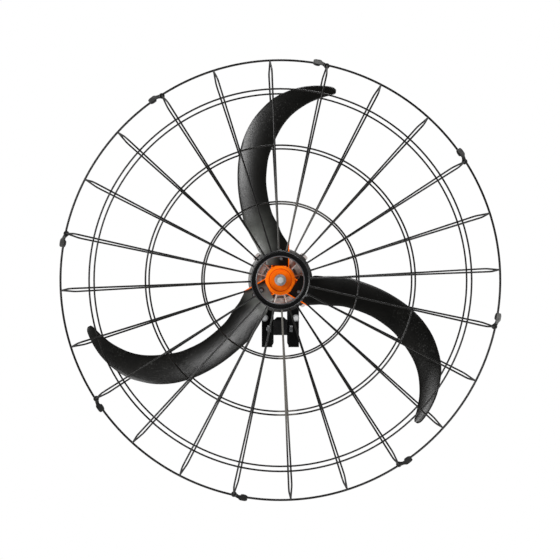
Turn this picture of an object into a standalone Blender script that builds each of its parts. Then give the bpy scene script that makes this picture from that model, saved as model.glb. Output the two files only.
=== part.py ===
"""Wall fan: wire guard, three sickle blades on a moulded hub, die-cast motor and tilting wall bracket.

The pieces are drawn in the fan's own axes: X to the right, Y up, Z out of the wall. The empty at the wall
turns these into world axes, where Z is up and the fan faces -Y. The origin lies on the wall face of the
bracket, level with the rotor's axis.
"""

import math

import bmesh
import bpy
from mathutils import Matrix, Vector

# Fits that the whole fan shares
CLEARANCE = 0.0003
OVERRUN = 0.002
MERGE_DISTANCE = 0.00001
SHARP_ANGLE = math.radians(35)

# Where the tilt pivot and the guard's joint plane lie, from the wall face and below the rotor's axis
PIVOT_STANDOFF = 0.045
PIVOT_DROP = 0.114
RIM_STANDOFF = 0.225

# Wire guard
RIM_RADIUS = 0.498
RIM_WIRE = 0.0046
RIM_PARTING = 0.0004
RING_SHARES = (0.9085, 0.6404, 0.3723)
RING_WIRE = 0.0041
SPOKE_WIRE = 0.0038
SPOKE_COUNT = 24
FIRST_SPOKE_ANGLE = math.radians(2.75)
SPOKE_SKEW = 0.0097
SPOKE_CROSSING_RADIUS = 0.091
SPOKE_STUB = 0.018
WELD_DEPTH = 0.0007
KNEE_INSET = 0.028
KNEE_BEND = 0.006
FACE_DEPTH = 0.070
FRONT_CROWN = 0.080
EYE_RADIUS = 0.058
RIM_STEPS_PER_SPOKE = 2
RING_STEPS_PER_SPOKE = (2, 2, 1)
EYE_STEPS_PER_SPOKE = 1
WIRE_BEVEL_STEPS = 0

# Ring of sheet metal in the middle of the rear guard
GUARD_PLATE_PAST_EYE = 0.008
GUARD_PLATE_INNER = 0.034
GUARD_PLATE_SHEET = 0.002

# Bare badge ring on the front of the guard, with hooks behind the eye of the wires
BADGE_PAST_EYE = 0.008
BADGE_INSIDE_EYE = 0.0064
BADGE_THICKNESS = 0.006
BADGE_CHAMFER = 0.0022
BADGE_HOOK_COUNT = 6
BADGE_HOOK_WIDTH = 0.006
BADGE_HOOK_WALL = 0.002
BADGE_HOOK_BARB = 0.0022

# Snap clips on the rim, each hinged on the end of a front wire
CLIP_COUNT = 8
CLIP_FIRST_SPOKE = 2
CLIP_SPOKE_STEP = 3
CLIP_START = 0.0125
CLIP_LENGTH = 0.019
CLIP_WALL = 0.002
CLIP_SWELL = 0.0029
CLIP_CHEEK = 0.0028
CLIP_CHEEK_DEPTH = 0.0045
CLIP_HOOK_DEPTH = 0.0036
CLIP_LAP = 0.002
CLIP_ARM_RISE = 0.0045
CLIP_ARM_DROP = 0.0054
# Rows of shares: how far along the jaw, how much of the swell of its back, and of the depth of its hook
CLIP_ROW_SHARES = (
    (0.00, 0.35, 0.00),
    (0.14, 0.88, 0.05),
    (0.24, 1.00, 0.90),
    (0.45, 1.00, 1.00),
    (0.68, 1.00, 0.95),
    (0.90, 0.70, 0.60),
    (1.00, 0.15, 0.15),
)
CLIP_EYE_WALL = 0.004
CLIP_EYE_LENGTH = 0.008
CLIP_ARC_STEPS = 2

# Motor: front shield, rear shell, stator, rotor core and bearings
MOTOR_RADIUS = 0.073
MOTOR_WALL = 0.003
SHIELD_FACE = 0.0
SHIELD_LENGTH = 0.024
SHIELD_BEVEL = 0.005
SHIELD_STEPS = 36
SHIELD_RIB_COUNT = 12
SHIELD_RIB_WIDTH = 0.003
SHIELD_RIB_HEIGHT = 0.0035
SHIELD_RIB_INNER = 0.024
SHIELD_RIB_INSET = 0.015
FIRST_RIB_ANGLE = math.radians(15)
VENT_INSET = 0.016
VENT_HALF_ANGLE = math.radians(11)
SHELL_LENGTH = 0.045
SHELL_BEVEL = 0.005
BOSS_RADIUS = 0.050
BOSS_LENGTH = 0.008
LUG_CIRCLE_PROUD = 0.0034
LUG_PROUD = 0.0072
LUG_HALF_WIDTH = 0.0095
LUG_CHAMFER = 0.003
LUG_SETBACK = 0.004
SHELL_LUG_LENGTH = 0.012
LUG_COUNT = 4
FIRST_LUG_ANGLE = math.radians(45)
TIE_BOLT_RADIUS = 0.0016
TIE_BOLT_FLATS = 0.005
TIE_BOLT_HEAD = 0.0028
TIE_BOLT_ENGAGED = 0.012
TIE_BOLT_END_ROOM = 0.0005
BEARING_OUTER = 0.0175
BEARING_INNER = 0.0078
BEARING_WIDTH = 0.011
BEARING_SEAT_WALL = 0.0032
BEARING_LIP = 0.0035
SHAFT_RADIUS = 0.0075
SHAFT_GAP = 0.0015
CORE_DEPTH = 0.0327
CORE_LENGTH = 0.0314
WINDING_INNER_STEP = 0.0005
WINDING_OUTER_STEP = 0.0057
WINDING_BEVEL = 0.004
FRONT_WINDING_LENGTH = 0.0195
REAR_WINDING_LENGTH = 0.009
AIR_GAP = 0.0005
END_RING_WIDTH = 0.009
END_RING_LENGTH = 0.005
HIDDEN_STEPS = 24
SMALL_STEPS = 16

# Hub, washer and bolt
CUP_RADIUS = 0.0335
CUP_FLAT = 0.0317
CUP_BACK = 0.014
CUP_FRONT = 0.050
CUP_FLOOR = 0.0445
CUP_RECESS = 0.0262
CUP_RECESS_DRAFT = 0.0022
CUP_LIP = 0.0015
CUP_WEB = 0.004
HUB_BOSS_RADIUS = 0.014
HUB_BOSS_LENGTH = 0.005
HUB_STEPS = 36
HUB_BOLT_RADIUS = 0.004
HUB_BOLT_LENGTH = 0.029
HUB_BOLT_HEAD = 0.0053
HUB_BOLT_FLATS = 0.013
HUB_BOLT_END_ROOM = 0.0015
HUB_WASHER_RADIUS = 0.013
HUB_WASHER_SHEET = 0.002

# Arms of the hub, and the blade roots that they hold
ARM_ANGLES = (math.radians(90), math.radians(210), math.radians(330))
ARM_START = 0.024
ARM_REACH = 0.078
ARM_TIP_EDGE = 0.008
ARM_FLOOR = 0.005
ARM_RIB = 0.0024
LONG_RIB_REACH = 0.084
SHORT_RIB_REACH = 0.0334
RIB_ABOVE_ROOT = 0.0045
ROOT_BACK = 0.022
ROOT_THICKNESS = 0.006
ROOT_HALF_WIDTH = 0.0174
ROOT_SCREWS = ((0.048, -0.002), (0.067, 0.0))
BLADE_SCREW_RADIUS = 0.0022
BLADE_SCREW_HEAD_RADIUS = 0.0036
BLADE_SCREW_CROWN_RADIUS = 0.0026
BLADE_SCREW_HEAD = 0.0022
BLADE_BOSS_RADIUS = 0.0058
BLADE_BOSS_HEIGHT = 0.0012

# Blades: outline, fall of the leading edge towards the wall, and wall
BLADE_TIP_ROOM = 0.0195
BLADE_THICKNESS = 0.0036
BLADE_FALL = 0.026
BLADE_FALL_POWER = 2.0
BLADE_CHORD_STEPS = 5
ROOT_LEADING_ALONG = 0.0345
ROOT_LEADING_ACROSS = 0.031
# The root's trailing edge follows the long rib. Each row of shares: how far along that rib the trailing edge
# is, and the radius of the leading edge over the blade's radius, with its angle from the arm in degrees,
# then the fall, the flat part of the chord and the thickness still to be lost.
ROOT_ROW_SHARES = (
    (0.595, 0.1457, 35.4, 0.28, 0.68, 1.00),
    (0.790, 0.1710, 37.5, 0.46, 0.60, 1.00),
    (0.970, 0.1950, 36.4, 0.64, 0.48, 0.80),
)
# Outer rows of shares: radius and angle of the trailing edge, the same of the leading edge, fall, flat part
# of the chord and thickness still to be lost. Angles are in degrees from the arm's axis.
BLADE_ROW_SHARES = (
    (0.2110, -6.0, 0.2200, 35.2, 0.78, 0.30, 0.55),
    (0.2375, -1.2, 0.2450, 34.8, 0.90, 0.18, 0.32),
    (0.2760, 2.2, 0.2800, 34.0, 1.00, 0.08, 0.12),
    (0.3270, 6.5, 0.3300, 32.9, 1.00, 0.00, 0.00),
    (0.3770, 8.0, 0.3850, 30.1, 1.00, 0.00, 0.00),
    (0.4420, 8.4, 0.4600, 26.8, 0.98, 0.00, 0.00),
    (0.5000, 8.1, 0.5300, 23.9, 0.95, 0.00, 0.00),
    (0.5630, 6.8, 0.6030, 20.8, 0.91, 0.00, 0.00),
    (0.6200, 5.3, 0.6700, 17.8, 0.86, 0.00, 0.00),
    (0.6800, 2.9, 0.7440, 14.1, 0.80, 0.00, 0.00),
    (0.7350, 0.7, 0.8140, 9.9, 0.73, 0.00, 0.00),
    (0.7850, -1.6, 0.8700, 5.7, 0.66, 0.00, 0.00),
    (0.8300, -4.2, 0.9146, 1.9, 0.58, 0.00, 0.00),
    (0.8700, -7.1, 0.9480, -2.3, 0.50, 0.00, 0.00),
    (0.9050, -10.0, 0.9720, -6.2, 0.42, 0.00, 0.00),
    (0.9350, -13.0, 0.9870, -9.6, 0.34, 0.00, 0.00),
    (0.9500, -14.6, 0.9955, -12.4, 0.29, 0.00, 0.00),
    (0.9590, -15.5, 1.0000, -14.5, 0.26, 0.00, 0.00),
    (0.9650, -16.1, 0.9985, -15.6, 0.24, 0.00, 0.00),
    (0.9740, -16.55, 0.9915, -16.35, 0.22, 0.00, 0.00),
)

# Fork behind the motor, in bent sheet
FORK_SHEET = 0.0025
FORK_BASE_HALF_WIDTH = 0.038
FORK_BASE_TOP = 0.068
FORK_BASE_BOTTOM = 0.045
FORK_BASE_CHAMFER_WIDTH = 0.010
FORK_BASE_CHAMFER_HEIGHT = 0.018
FORK_WEB_TOP = 0.020
FORK_WEB_FRONT = 0.018
FORK_WEB_BACK = 0.016
FORK_TAIL_DROP = 0.043
FORK_TAIL_CHAMFER = 0.006
MOTOR_SCREW_OFFSET = 0.028
MOTOR_SCREW_RADIUS = 0.0025
MOTOR_SCREW_FLATS = 0.008
MOTOR_SCREW_GRIP = 0.006
MOTOR_SCREW_END_ROOM = 0.0005

# Capacitor and its strap on the fork, and the cable's gland on the motor's boss
CAPACITOR_RADIUS = 0.0165
CAPACITOR_LENGTH = 0.058
CAPACITOR_HEIGHT = 0.042
CAPACITOR_BEVEL = 0.0015
STRAP_SHEET = 0.0012
STRAP_WIDTH = 0.014
STRAP_FOOT = 0.006
STRAP_ARC_STEPS = 10
GLAND_DROP = 0.0245
GLAND_FLANGE_RADIUS = 0.0058
GLAND_FLANGE_LENGTH = 0.004
GLAND_NUT_RADIUS = 0.0048
GLAND_LENGTH = 0.018
GLAND_BORE_RADIUS = 0.0032

# Wall bracket in bent sheet: a plate with two legs, and an ear on the inside of each leg
BRACKET_SHEET = 0.0025
BRACKET_HALF_WIDTH = 0.044
BRACKET_TOP = 0.060
BRACKET_BOTTOM = 0.1584
SLOT_HALF_WIDTH = 0.0161
SLOT_TOP = 0.066
LEG_CHAMFER_WIDTH = 0.0047
LEG_CHAMFER_HEIGHT = 0.0106
EAR_PAST_PIVOT = 0.020
EAR_ABOVE_PIVOT = 0.018
EAR_BELOW_PIVOT = 0.0144
EAR_CHAMFER = 0.006
WALL_SCREW_SIDE = 0.0365
WALL_SCREW_HEIGHTS = (0.040, -0.0895)
WALL_SCREW_RADIUS = 0.003
WALL_SCREW_LENGTH = 0.050
WALL_SCREW_POINT = 0.008
WALL_SCREW_HEAD = 0.0042
WALL_SCREW_FLATS = 0.010
WALL_WASHER_RADIUS = 0.0082
WALL_WASHER_SHEET = 0.0016

# Spacer block between the ears, and the tilt bolt through it
BLOCK_FRONT_PAST_PIVOT = 0.022
BLOCK_BACK_PAST_PIVOT = 0.020
BLOCK_CAP = 0.0032
BLOCK_NOSE_HEIGHT = 0.0058
BLOCK_NOSE_BASE = 0.028
BLOCK_NOSE_TOP = 0.0165
BLOCK_NOSE_INSET = 0.006
TILT_BOLT_RADIUS = 0.004
TILT_BOLT_FLATS = 0.013
TILT_BOLT_HEAD = 0.0053
TILT_NUT_HEIGHT = 0.0065
TILT_BOLT_BEYOND_NUT = 0.003
TILT_WASHER_RADIUS = 0.0085
TILT_WASHER_SHEET = 0.0014

# Sides of small round pieces and holes
BOLT_SIDES = 10
HEX_SIDES = 6

# Sizes that follow from the ones above
SPOKE_PITCH = math.tau / SPOKE_COUNT
RIM_OFFSET = (RIM_WIRE + RIM_PARTING) / 2
KNEE_RADIUS = RIM_RADIUS - KNEE_INSET
RING_RADII = tuple(KNEE_RADIUS * share for share in RING_SHARES)
BLADE_RADIUS = KNEE_RADIUS - BLADE_TIP_ROOM
GUARD_PLATE_OUTER = EYE_RADIUS + GUARD_PLATE_PAST_EYE
BADGE_OUTER = EYE_RADIUS + BADGE_PAST_EYE
BADGE_INNER = EYE_RADIUS - BADGE_INSIDE_EYE
STUB_RADIUS = RIM_RADIUS - (RIM_WIRE + SPOKE_WIRE) / 2 + WELD_DEPTH
RING_DROP = (SPOKE_WIRE + RING_WIRE) / 2 - WELD_DEPTH
SHELL_FRONT = SHIELD_FACE - SHIELD_LENGTH - CLEARANCE
SHELL_BACK = SHELL_FRONT - SHELL_LENGTH
BOSS_BACK = SHELL_BACK - BOSS_LENGTH
GUARD_PLATE_FRONT = BOSS_BACK - CLEARANCE
GUARD_PLATE_BACK = GUARD_PLATE_FRONT - GUARD_PLATE_SHEET
FORK_FRONT = GUARD_PLATE_BACK - CLEARANCE
FORK_BACK = FORK_FRONT - FORK_SHEET
REAR_CROWN = WELD_DEPTH - SPOKE_WIRE / 2 - GUARD_PLATE_FRONT
CORE_FRONT = SHELL_FRONT
CORE_BACK = CORE_FRONT - CORE_LENGTH
CORE_OUTER = MOTOR_RADIUS - MOTOR_WALL - CLEARANCE
CORE_INNER = CORE_OUTER - CORE_DEPTH
WINDING_INNER = CORE_INNER + WINDING_INNER_STEP
WINDING_OUTER = CORE_OUTER - WINDING_OUTER_STEP
LUG_CIRCLE = MOTOR_RADIUS + LUG_CIRCLE_PROUD
LUG_REACH = MOTOR_RADIUS + LUG_PROUD
SHIELD_RIB_OUTER = MOTOR_RADIUS - SHIELD_RIB_INSET
VENT_INNER = CORE_INNER
VENT_OUTER = MOTOR_RADIUS - VENT_INSET
REAR_POCKET_FLOOR = BOSS_BACK + MOTOR_WALL
ARM_TOP = ROOT_BACK - CLEARANCE
ARM_BACK = ARM_TOP - ARM_FLOOR
ROOT_FRONT = ROOT_BACK + ROOT_THICKNESS
RIB_INNER = ROOT_HALF_WIDTH + CLEARANCE
EAR_OUTER = SLOT_HALF_WIDTH + BRACKET_SHEET
WEB_INNER = EAR_OUTER + CLEARANCE
WEB_OUTER = WEB_INNER + FORK_SHEET
PIVOT_IN_HEAD = PIVOT_STANDOFF - RIM_STANDOFF


def clear_scene():
    """Remove every object that the new scene starts with."""
    for thing in list(bpy.data.objects):
        bpy.data.objects.remove(thing)


def new_shape(mesh):
    """Return a working object for a mesh."""
    shape = bpy.data.objects.new("shape", mesh)
    bpy.context.scene.collection.objects.link(shape)
    return shape


def shape_from_bmesh(bm):
    """Return a working object for a bmesh, with its faces pointing out."""
    bmesh.ops.recalc_face_normals(bm, faces=bm.faces)
    mesh = bpy.data.meshes.new("shape")
    bm.to_mesh(mesh)
    bm.free()
    return new_shape(mesh)


def settled(shape):
    """Return a working object with the modifiers, or the curve, of a shape made into its mesh."""
    bpy.context.view_layer.update()
    graph = bpy.context.evaluated_depsgraph_get()
    mesh = bpy.data.meshes.new_from_object(shape.evaluated_get(graph), depsgraph=graph)
    mesh.transform(shape.matrix_world)
    bpy.data.objects.remove(shape)
    return new_shape(mesh)


def welded(shape):
    """Close the loose caps of a curve that has been made a mesh."""
    bm = bmesh.new()
    bm.from_mesh(shape.data)
    bpy.data.objects.remove(shape)
    bmesh.ops.remove_doubles(bm, verts=bm.verts, dist=MERGE_DISTANCE)
    return shape_from_bmesh(bm)


def combined(base, tool, operation):
    """Return the base with the tool joined to it or cut out of it, and use both up."""
    modifier = base.modifiers.new("combine", "BOOLEAN")
    modifier.operation = operation
    modifier.object = tool
    result = settled(base)
    bpy.data.objects.remove(tool)
    return result


def joined(*shapes):
    """Return the union of shapes that overlap."""
    result = shapes[0]
    for shape in shapes[1:]:
        result = combined(result, shape, "UNION")
    return result


def cut(base, *tools):
    """Return the base without the space that the tools take."""
    for tool in tools:
        base = combined(base, tool, "DIFFERENCE")
    return base


def gathered(shapes):
    """Return one working object that holds several shapes that don't touch, to join or cut at once."""
    bm = bmesh.new()
    for shape in shapes:
        bm.from_mesh(shape.data)
        bpy.data.objects.remove(shape)
    return shape_from_bmesh(bm)


def box(low, high):
    """Return a box between two corners."""
    low = Vector(low)
    high = Vector(high)
    bm = bmesh.new()
    scale = Matrix.Diagonal((*(high - low), 1))
    bmesh.ops.create_cube(bm, size=1, matrix=Matrix.Translation((low + high) / 2) @ scale)
    return shape_from_bmesh(bm)


def rod(start, end, radius, sides=BOLT_SIDES, end_radius=None):
    """Return a round or many-sided rod between two points."""
    start = Vector(start)
    end = Vector(end)
    axis = end - start
    place = Matrix.Translation((start + end) / 2) @ axis.to_track_quat("Z", "Y").to_matrix().to_4x4()
    last = radius if end_radius is None else end_radius
    bm = bmesh.new()
    bmesh.ops.create_cone(
        bm, cap_ends=True, segments=sides, radius1=radius, radius2=last, depth=axis.length, matrix=place
    )
    return shape_from_bmesh(bm)


def turned(profile, steps=HIDDEN_STEPS, closed=True):
    """Turn (radius, height) points about Z. The profile runs down its outer side."""
    bm = bmesh.new()
    points = [bm.verts.new((radius, 0, height)) for radius, height in profile]
    for first, second in zip(points, points[1:]):
        bm.edges.new((first, second))
    if closed:
        bm.edges.new((points[-1], points[0]))
    mesh = bpy.data.meshes.new("profile")
    bm.to_mesh(mesh)
    bm.free()
    shape = new_shape(mesh)
    screw = shape.modifiers.new("turn", "SCREW")
    screw.steps = steps
    screw.render_steps = steps
    screw.use_merge_vertices = True
    screw.merge_threshold = MERGE_DISTANCE
    return settled(shape)


def washer(outer, inner, low, high, steps=SMALL_STEPS):
    """Return a flat ring about Z."""
    return turned([(inner, high), (outer, high), (outer, low), (inner, low)], steps)


def prism(outline, low, high, holes=()):
    """Return a flat outline, with any holes, made solid from one height to another."""
    curve = bpy.data.curves.new("outline", "CURVE")
    curve.dimensions = "2D"
    curve.fill_mode = "BOTH"
    curve.extrude = (high - low) / 2
    for loop in (outline, *holes):
        spline = curve.splines.new("POLY")
        spline.points.add(len(loop) - 1)
        for point, (across, up) in zip(spline.points, loop):
            point.co = (across, up, 0, 1)
        spline.use_cyclic_u = True
    shape = new_shape(curve)
    shape.location.z = (low + high) / 2
    return welded(settled(shape))


def side_prism(outline, low, high):
    """Return a prism that runs along X, from an outline of (forward, up) points."""
    shape = prism([(-forward, up) for forward, up in outline], low, high)
    shape.data.transform(Matrix.Rotation(math.radians(90), 4, "Y"))
    return shape


def circle(radius, sides, centre=(0, 0)):
    """Return the points of a circle."""
    angles = [math.tau * step / sides for step in range(sides)]
    return [(centre[0] + radius * math.cos(a), centre[1] + radius * math.sin(a)) for a in angles]


def tubes(paths, diameter, cyclic=False):
    """Return round wires along several paths, as one working object."""
    curve = bpy.data.curves.new("wires", "CURVE")
    curve.dimensions = "3D"
    curve.bevel_depth = diameter / 2
    curve.bevel_resolution = WIRE_BEVEL_STEPS
    curve.use_fill_caps = not cyclic
    for path in paths:
        spline = curve.splines.new("POLY")
        spline.points.add(len(path) - 1)
        for point, place in zip(spline.points, path):
            point.co = (*place, 1)
        spline.use_cyclic_u = cyclic
    return welded(settled(new_shape(curve)))


def polar(radius, angle, height=0, across=0):
    """Return the point at a radius and an angle from X, a little to the side of that radius."""
    x = radius * math.cos(angle) - across * math.sin(angle)
    y = radius * math.sin(angle) + across * math.cos(angle)
    return Vector((x, y, height))


def make_material(name, colour, roughness, metallic=0.0):
    """Return a plain Principled material."""
    material = bpy.data.materials.new(name)
    material.use_nodes = True
    shader = material.node_tree.nodes["Principled BSDF"]
    shader.inputs["Base Color"].default_value = (*colour, 1)
    shader.inputs["Roughness"].default_value = roughness
    shader.inputs["Metallic"].default_value = metallic
    return material


def make_frame(name, parent=None, location=(0, 0, 0), rotation=(0, 0, 0)):
    """Add an empty that carries other pieces."""
    frame = bpy.data.objects.new(name, None)
    frame.parent = parent
    frame.location = location
    frame.rotation_euler = rotation
    PIECES.objects.link(frame)
    return frame


def finished_mesh(name, shape, material):
    """Take the mesh of a working object, shade it and give it its material."""
    mesh = shape.data
    mesh.name = name
    bpy.data.objects.remove(shape)
    mesh.shade_smooth()
    mesh.set_sharp_from_angle(angle=SHARP_ANGLE)
    mesh.materials.clear()
    mesh.materials.append(material)
    return mesh


def add_piece(name, mesh, parent, location=(0, 0, 0), turn=0):
    """Add a named piece to the fan."""
    piece = bpy.data.objects.new(name, mesh)
    piece.parent = parent
    piece.location = location
    piece.rotation_euler.z = turn
    PIECES.objects.link(piece)
    return piece


def add_single(name, shape, material, parent):
    """Add a piece that there is one of, in its carrier's axes."""
    return add_piece(name, finished_mesh(name, shape, material), parent)


def hex_head(start, end, flats):
    """Return a hexagon bar with the given width across its flats."""
    return rod(start, end, flats / 2 / math.cos(math.pi / HEX_SIDES), HEX_SIDES)


def headed_bolt(head, length, radius, flats, point=0):
    """Return a hexagon bolt along Z, whose shank starts under its head at the origin and runs back."""
    if point:
        profile = [(0, head / 2), (radius, head / 2), (radius, point - length), (radius / HEX_SIDES, -length), (0, -length)]
        shank = turned(profile, BOLT_SIDES, closed=False)
    else:
        shank = rod((0, 0, head / 2), (0, 0, -length), radius)
    return joined(hex_head((0, 0, 0), (0, 0, head), flats), shank)


def face_height(radius, crown):
    """Return how far the guard's wires lie from its joint plane at a radius."""
    share = (KNEE_RADIUS - radius) / (KNEE_RADIUS - EYE_RADIUS)
    return FACE_DEPTH + (crown - FACE_DEPTH) * share


def spoke_path(angle, side, crown, inner_radius):
    """Return the points of one wire, from its weld inside the rim to the middle of the guard."""
    outer_bend = KNEE_RADIUS + KNEE_BEND
    inner_bend = KNEE_RADIUS - KNEE_BEND
    bend_start = FACE_DEPTH - KNEE_BEND
    skew = [side * SPOKE_SKEW * (SPOKE_CROSSING_RADIUS - radius) for radius in (inner_bend, inner_radius)]
    return [
        polar(STUB_RADIUS, angle, side * (RIM_OFFSET - WELD_DEPTH)),
        polar(STUB_RADIUS, angle, side * SPOKE_STUB),
        polar(outer_bend, angle, side * bend_start, skew[0]),
        polar(inner_bend, angle, side * face_height(inner_bend, crown), skew[0]),
        polar(inner_radius, angle, side * face_height(inner_radius, crown), skew[1]),
    ]


def ring_path(radius, height, steps_per_spoke):
    """Return the points of a round wire that has a point at every spoke."""
    steps = SPOKE_COUNT * steps_per_spoke
    return [polar(radius, FIRST_SPOKE_ANGLE + math.tau * step / steps, height) for step in range(steps)]


def guard_wires(side, crown, inner_radius, with_eye):
    """Return one half of the guard: its rim, its rings and its spokes, welded."""
    angles = [FIRST_SPOKE_ANGLE + SPOKE_PITCH * step for step in range(SPOKE_COUNT)]
    spokes = tubes([spoke_path(angle, side, crown, inner_radius) for angle in angles], SPOKE_WIRE)
    rim = tubes([ring_path(RIM_RADIUS, side * RIM_OFFSET, RIM_STEPS_PER_SPOKE)], RIM_WIRE, cyclic=True)
    rings = []
    for radius, steps in zip(RING_RADII, RING_STEPS_PER_SPOKE):
        rings.append(ring_path(radius, side * (face_height(radius, crown) - RING_DROP), steps))
    if with_eye:
        height = side * (face_height(EYE_RADIUS, crown) - RING_DROP)
        rings.append(ring_path(EYE_RADIUS, height, EYE_STEPS_PER_SPOKE))
    circles = tubes(rings, RING_WIRE, cyclic=True)
    return joined(spokes, gathered([rim, circles]))


def build_front_guard(head):
    """Add the front half of the guard."""
    wires = guard_wires(1, FRONT_CROWN, EYE_RADIUS - RING_WIRE / 2, with_eye=True)
    add_single("front_guard", wires, MATERIALS["wire"], head)


def build_rear_guard(head):
    """Add the rear half of the guard, with the sheet ring that is clamped behind the motor."""
    wires = guard_wires(-1, REAR_CROWN, EYE_RADIUS, with_eye=False)
    plate = washer(GUARD_PLATE_OUTER, GUARD_PLATE_INNER, GUARD_PLATE_BACK, GUARD_PLATE_FRONT, HIDDEN_STEPS)
    plate = cut(plate, motor_screw_holes(GUARD_PLATE_BACK - OVERRUN, GUARD_PLATE_FRONT + OVERRUN))
    add_single("rear_guard", joined(wires, plate), MATERIALS["wire"], head)


def build_badge_ring(head):
    """Add the bare ring in front of the hub, with hooks that pass between the wires."""
    back = face_height(EYE_RADIUS, FRONT_CROWN) + SPOKE_WIRE / 2 + CLEARANCE
    front = back + BADGE_THICKNESS
    shoulder = front - BADGE_CHAMFER
    ring = turned(
        [
            (BADGE_INNER + BADGE_CHAMFER, front),
            (BADGE_OUTER - BADGE_CHAMFER, front),
            (BADGE_OUTER, shoulder),
            (BADGE_OUTER, back),
            (BADGE_INNER, back),
            (BADGE_INNER, shoulder),
        ],
        SHIELD_STEPS,
    )
    wire_outside = EYE_RADIUS + RING_WIRE / 2 + CLEARANCE
    wire_back = back - CLEARANCE - SPOKE_WIRE / 2 - RING_DROP - RING_WIRE / 2 - CLEARANCE
    half = BADGE_HOOK_WIDTH / 2
    stem = (wire_outside, -half, wire_back - BADGE_HOOK_BARB), (wire_outside + BADGE_HOOK_WALL, half, back + OVERRUN)
    barb = (EYE_RADIUS, -half, wire_back - BADGE_HOOK_BARB), (wire_outside + BADGE_HOOK_WALL / 2, half, wire_back)
    for step in range(BADGE_HOOK_COUNT):
        angle = FIRST_SPOKE_ANGLE + SPOKE_PITCH / 2 + math.tau * step / BADGE_HOOK_COUNT
        hook = joined(box(*stem), box(*barb))
        hook.data.transform(Matrix.Rotation(angle, 4, "Z"))
        ring = joined(ring, hook)
    add_single("badge_ring", ring, MATERIALS["black_plastic"], head)


def clip_point(radius, along_share):
    """Return a point at a radius from the fan's axis and a place along the jaw, seen from the clip's hinge."""
    angle = (CLIP_START + CLIP_LENGTH * along_share) / RIM_RADIUS
    return radius * math.cos(angle) - STUB_RADIUS, radius * math.sin(angle)


def clip_shape():
    """Return a snap clip with its hinge on Z: an eye, an arm and a jaw over both rims."""
    channel = RIM_RADIUS + RIM_WIRE / 2 + CLEARANCE
    back = channel + CLIP_WALL
    cheek = channel - CLIP_CHEEK_DEPTH
    mouth = RIM_OFFSET + RIM_WIRE / 2 + CLEARANCE
    side = mouth + CLIP_CHEEK
    outside = [clip_point(back + CLIP_SWELL * swell, along) for along, swell, hook in CLIP_ROW_SHARES]
    inside = [clip_point(cheek - CLIP_HOOK_DEPTH * hook, along) for along, swell, hook in CLIP_ROW_SHARES]
    jaw = prism(outside + inside[::-1], -side, side)
    channel_floor = cheek - CLIP_HOOK_DEPTH - OVERRUN
    spare_share = OVERRUN / CLIP_LENGTH
    ends = (-spare_share, 1 + spare_share)
    channel_outline = [clip_point(channel, step / CLIP_ARC_STEPS) for step in range(CLIP_ARC_STEPS + 1)]
    channel_outline = [clip_point(channel, ends[0]), *channel_outline, clip_point(channel, ends[1])]
    channel_outline += [clip_point(channel_floor, ends[1]), clip_point(channel_floor, ends[0])]
    jaw = cut(jaw, prism(channel_outline, -mouth, mouth))
    hole = SPOKE_WIRE / 2 + CLEARANCE
    eye = hole + CLIP_EYE_WALL
    lap = CLIP_START + CLIP_LAP
    shoulder = back + CLIP_SWELL * CLIP_ROW_SHARES[0][1] - CLEARANCE
    arm_outline = [
        (-CLIP_ARM_DROP, 0),
        (CLIP_ARM_RISE, 0),
        (shoulder - STUB_RADIUS, lap),
        (cheek + CLEARANCE - STUB_RADIUS, lap),
    ]
    arm = prism(arm_outline, mouth + CLEARANCE, side - CLEARANCE)
    knuckle = rod((0, 0, mouth), (0, 0, mouth + CLIP_EYE_LENGTH), eye, BOLT_SIDES)
    bore = rod((0, 0, -OVERRUN), (0, 0, mouth + CLIP_EYE_LENGTH + OVERRUN), hole)
    return cut(joined(jaw, arm, knuckle), bore)


def build_clips(head):
    """Add the snap clips around the rim."""
    mesh = finished_mesh("rim_clip", clip_shape(), MATERIALS["clip_plastic"])
    for number in range(CLIP_COUNT):
        angle = FIRST_SPOKE_ANGLE + SPOKE_PITCH * (CLIP_FIRST_SPOKE + CLIP_SPOKE_STEP * number)
        add_piece(f"rim_clip_{number + 1}", mesh, head, polar(STUB_RADIUS, angle), angle)


def lug_places():
    """Return the centres of the motor's lugs."""
    return [polar(LUG_CIRCLE, FIRST_LUG_ANGLE + math.tau * step / LUG_COUNT) for step in range(LUG_COUNT)]


def tie_bolt_holes(low, high):
    """Return the holes for the tie bolts in the lugs."""
    radius = TIE_BOLT_RADIUS + CLEARANCE
    return gathered([rod((x, y, low), (x, y, high), radius) for x, y, _ in lug_places()])


def motor_lugs(low, high):
    """Return the lugs, with their inner sides inside the motor's wall."""
    inner = MOTOR_RADIUS - MOTOR_WALL
    shoulder = LUG_REACH - LUG_CHAMFER
    edge = LUG_HALF_WIDTH - LUG_CHAMFER
    half = [(inner, -LUG_HALF_WIDTH), (shoulder, -LUG_HALF_WIDTH), (LUG_REACH, -edge)]
    outline = half + [(x, -y) for x, y in reversed(half)]
    lugs = []
    for step in range(LUG_COUNT):
        lug = prism(outline, low, high)
        lug.data.transform(Matrix.Rotation(FIRST_LUG_ANGLE + math.tau * step / LUG_COUNT, 4, "Z"))
        lugs.append(lug)
    inside = rod((0, 0, low - OVERRUN), (0, 0, high + OVERRUN), MOTOR_RADIUS - MOTOR_WALL / 2, SHIELD_STEPS)
    return cut(gathered(lugs), inside)


def motor_screw_holes(low, high):
    """Return the holes for the screws that hold the motor, the guard and the fork together."""
    radius = MOTOR_SCREW_RADIUS + CLEARANCE
    places = [(x, y) for x in (-MOTOR_SCREW_OFFSET, MOTOR_SCREW_OFFSET) for y in (-MOTOR_SCREW_OFFSET, MOTOR_SCREW_OFFSET)]
    return gathered([rod((x, y, low), (x, y, high), radius) for x, y in places])


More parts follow.
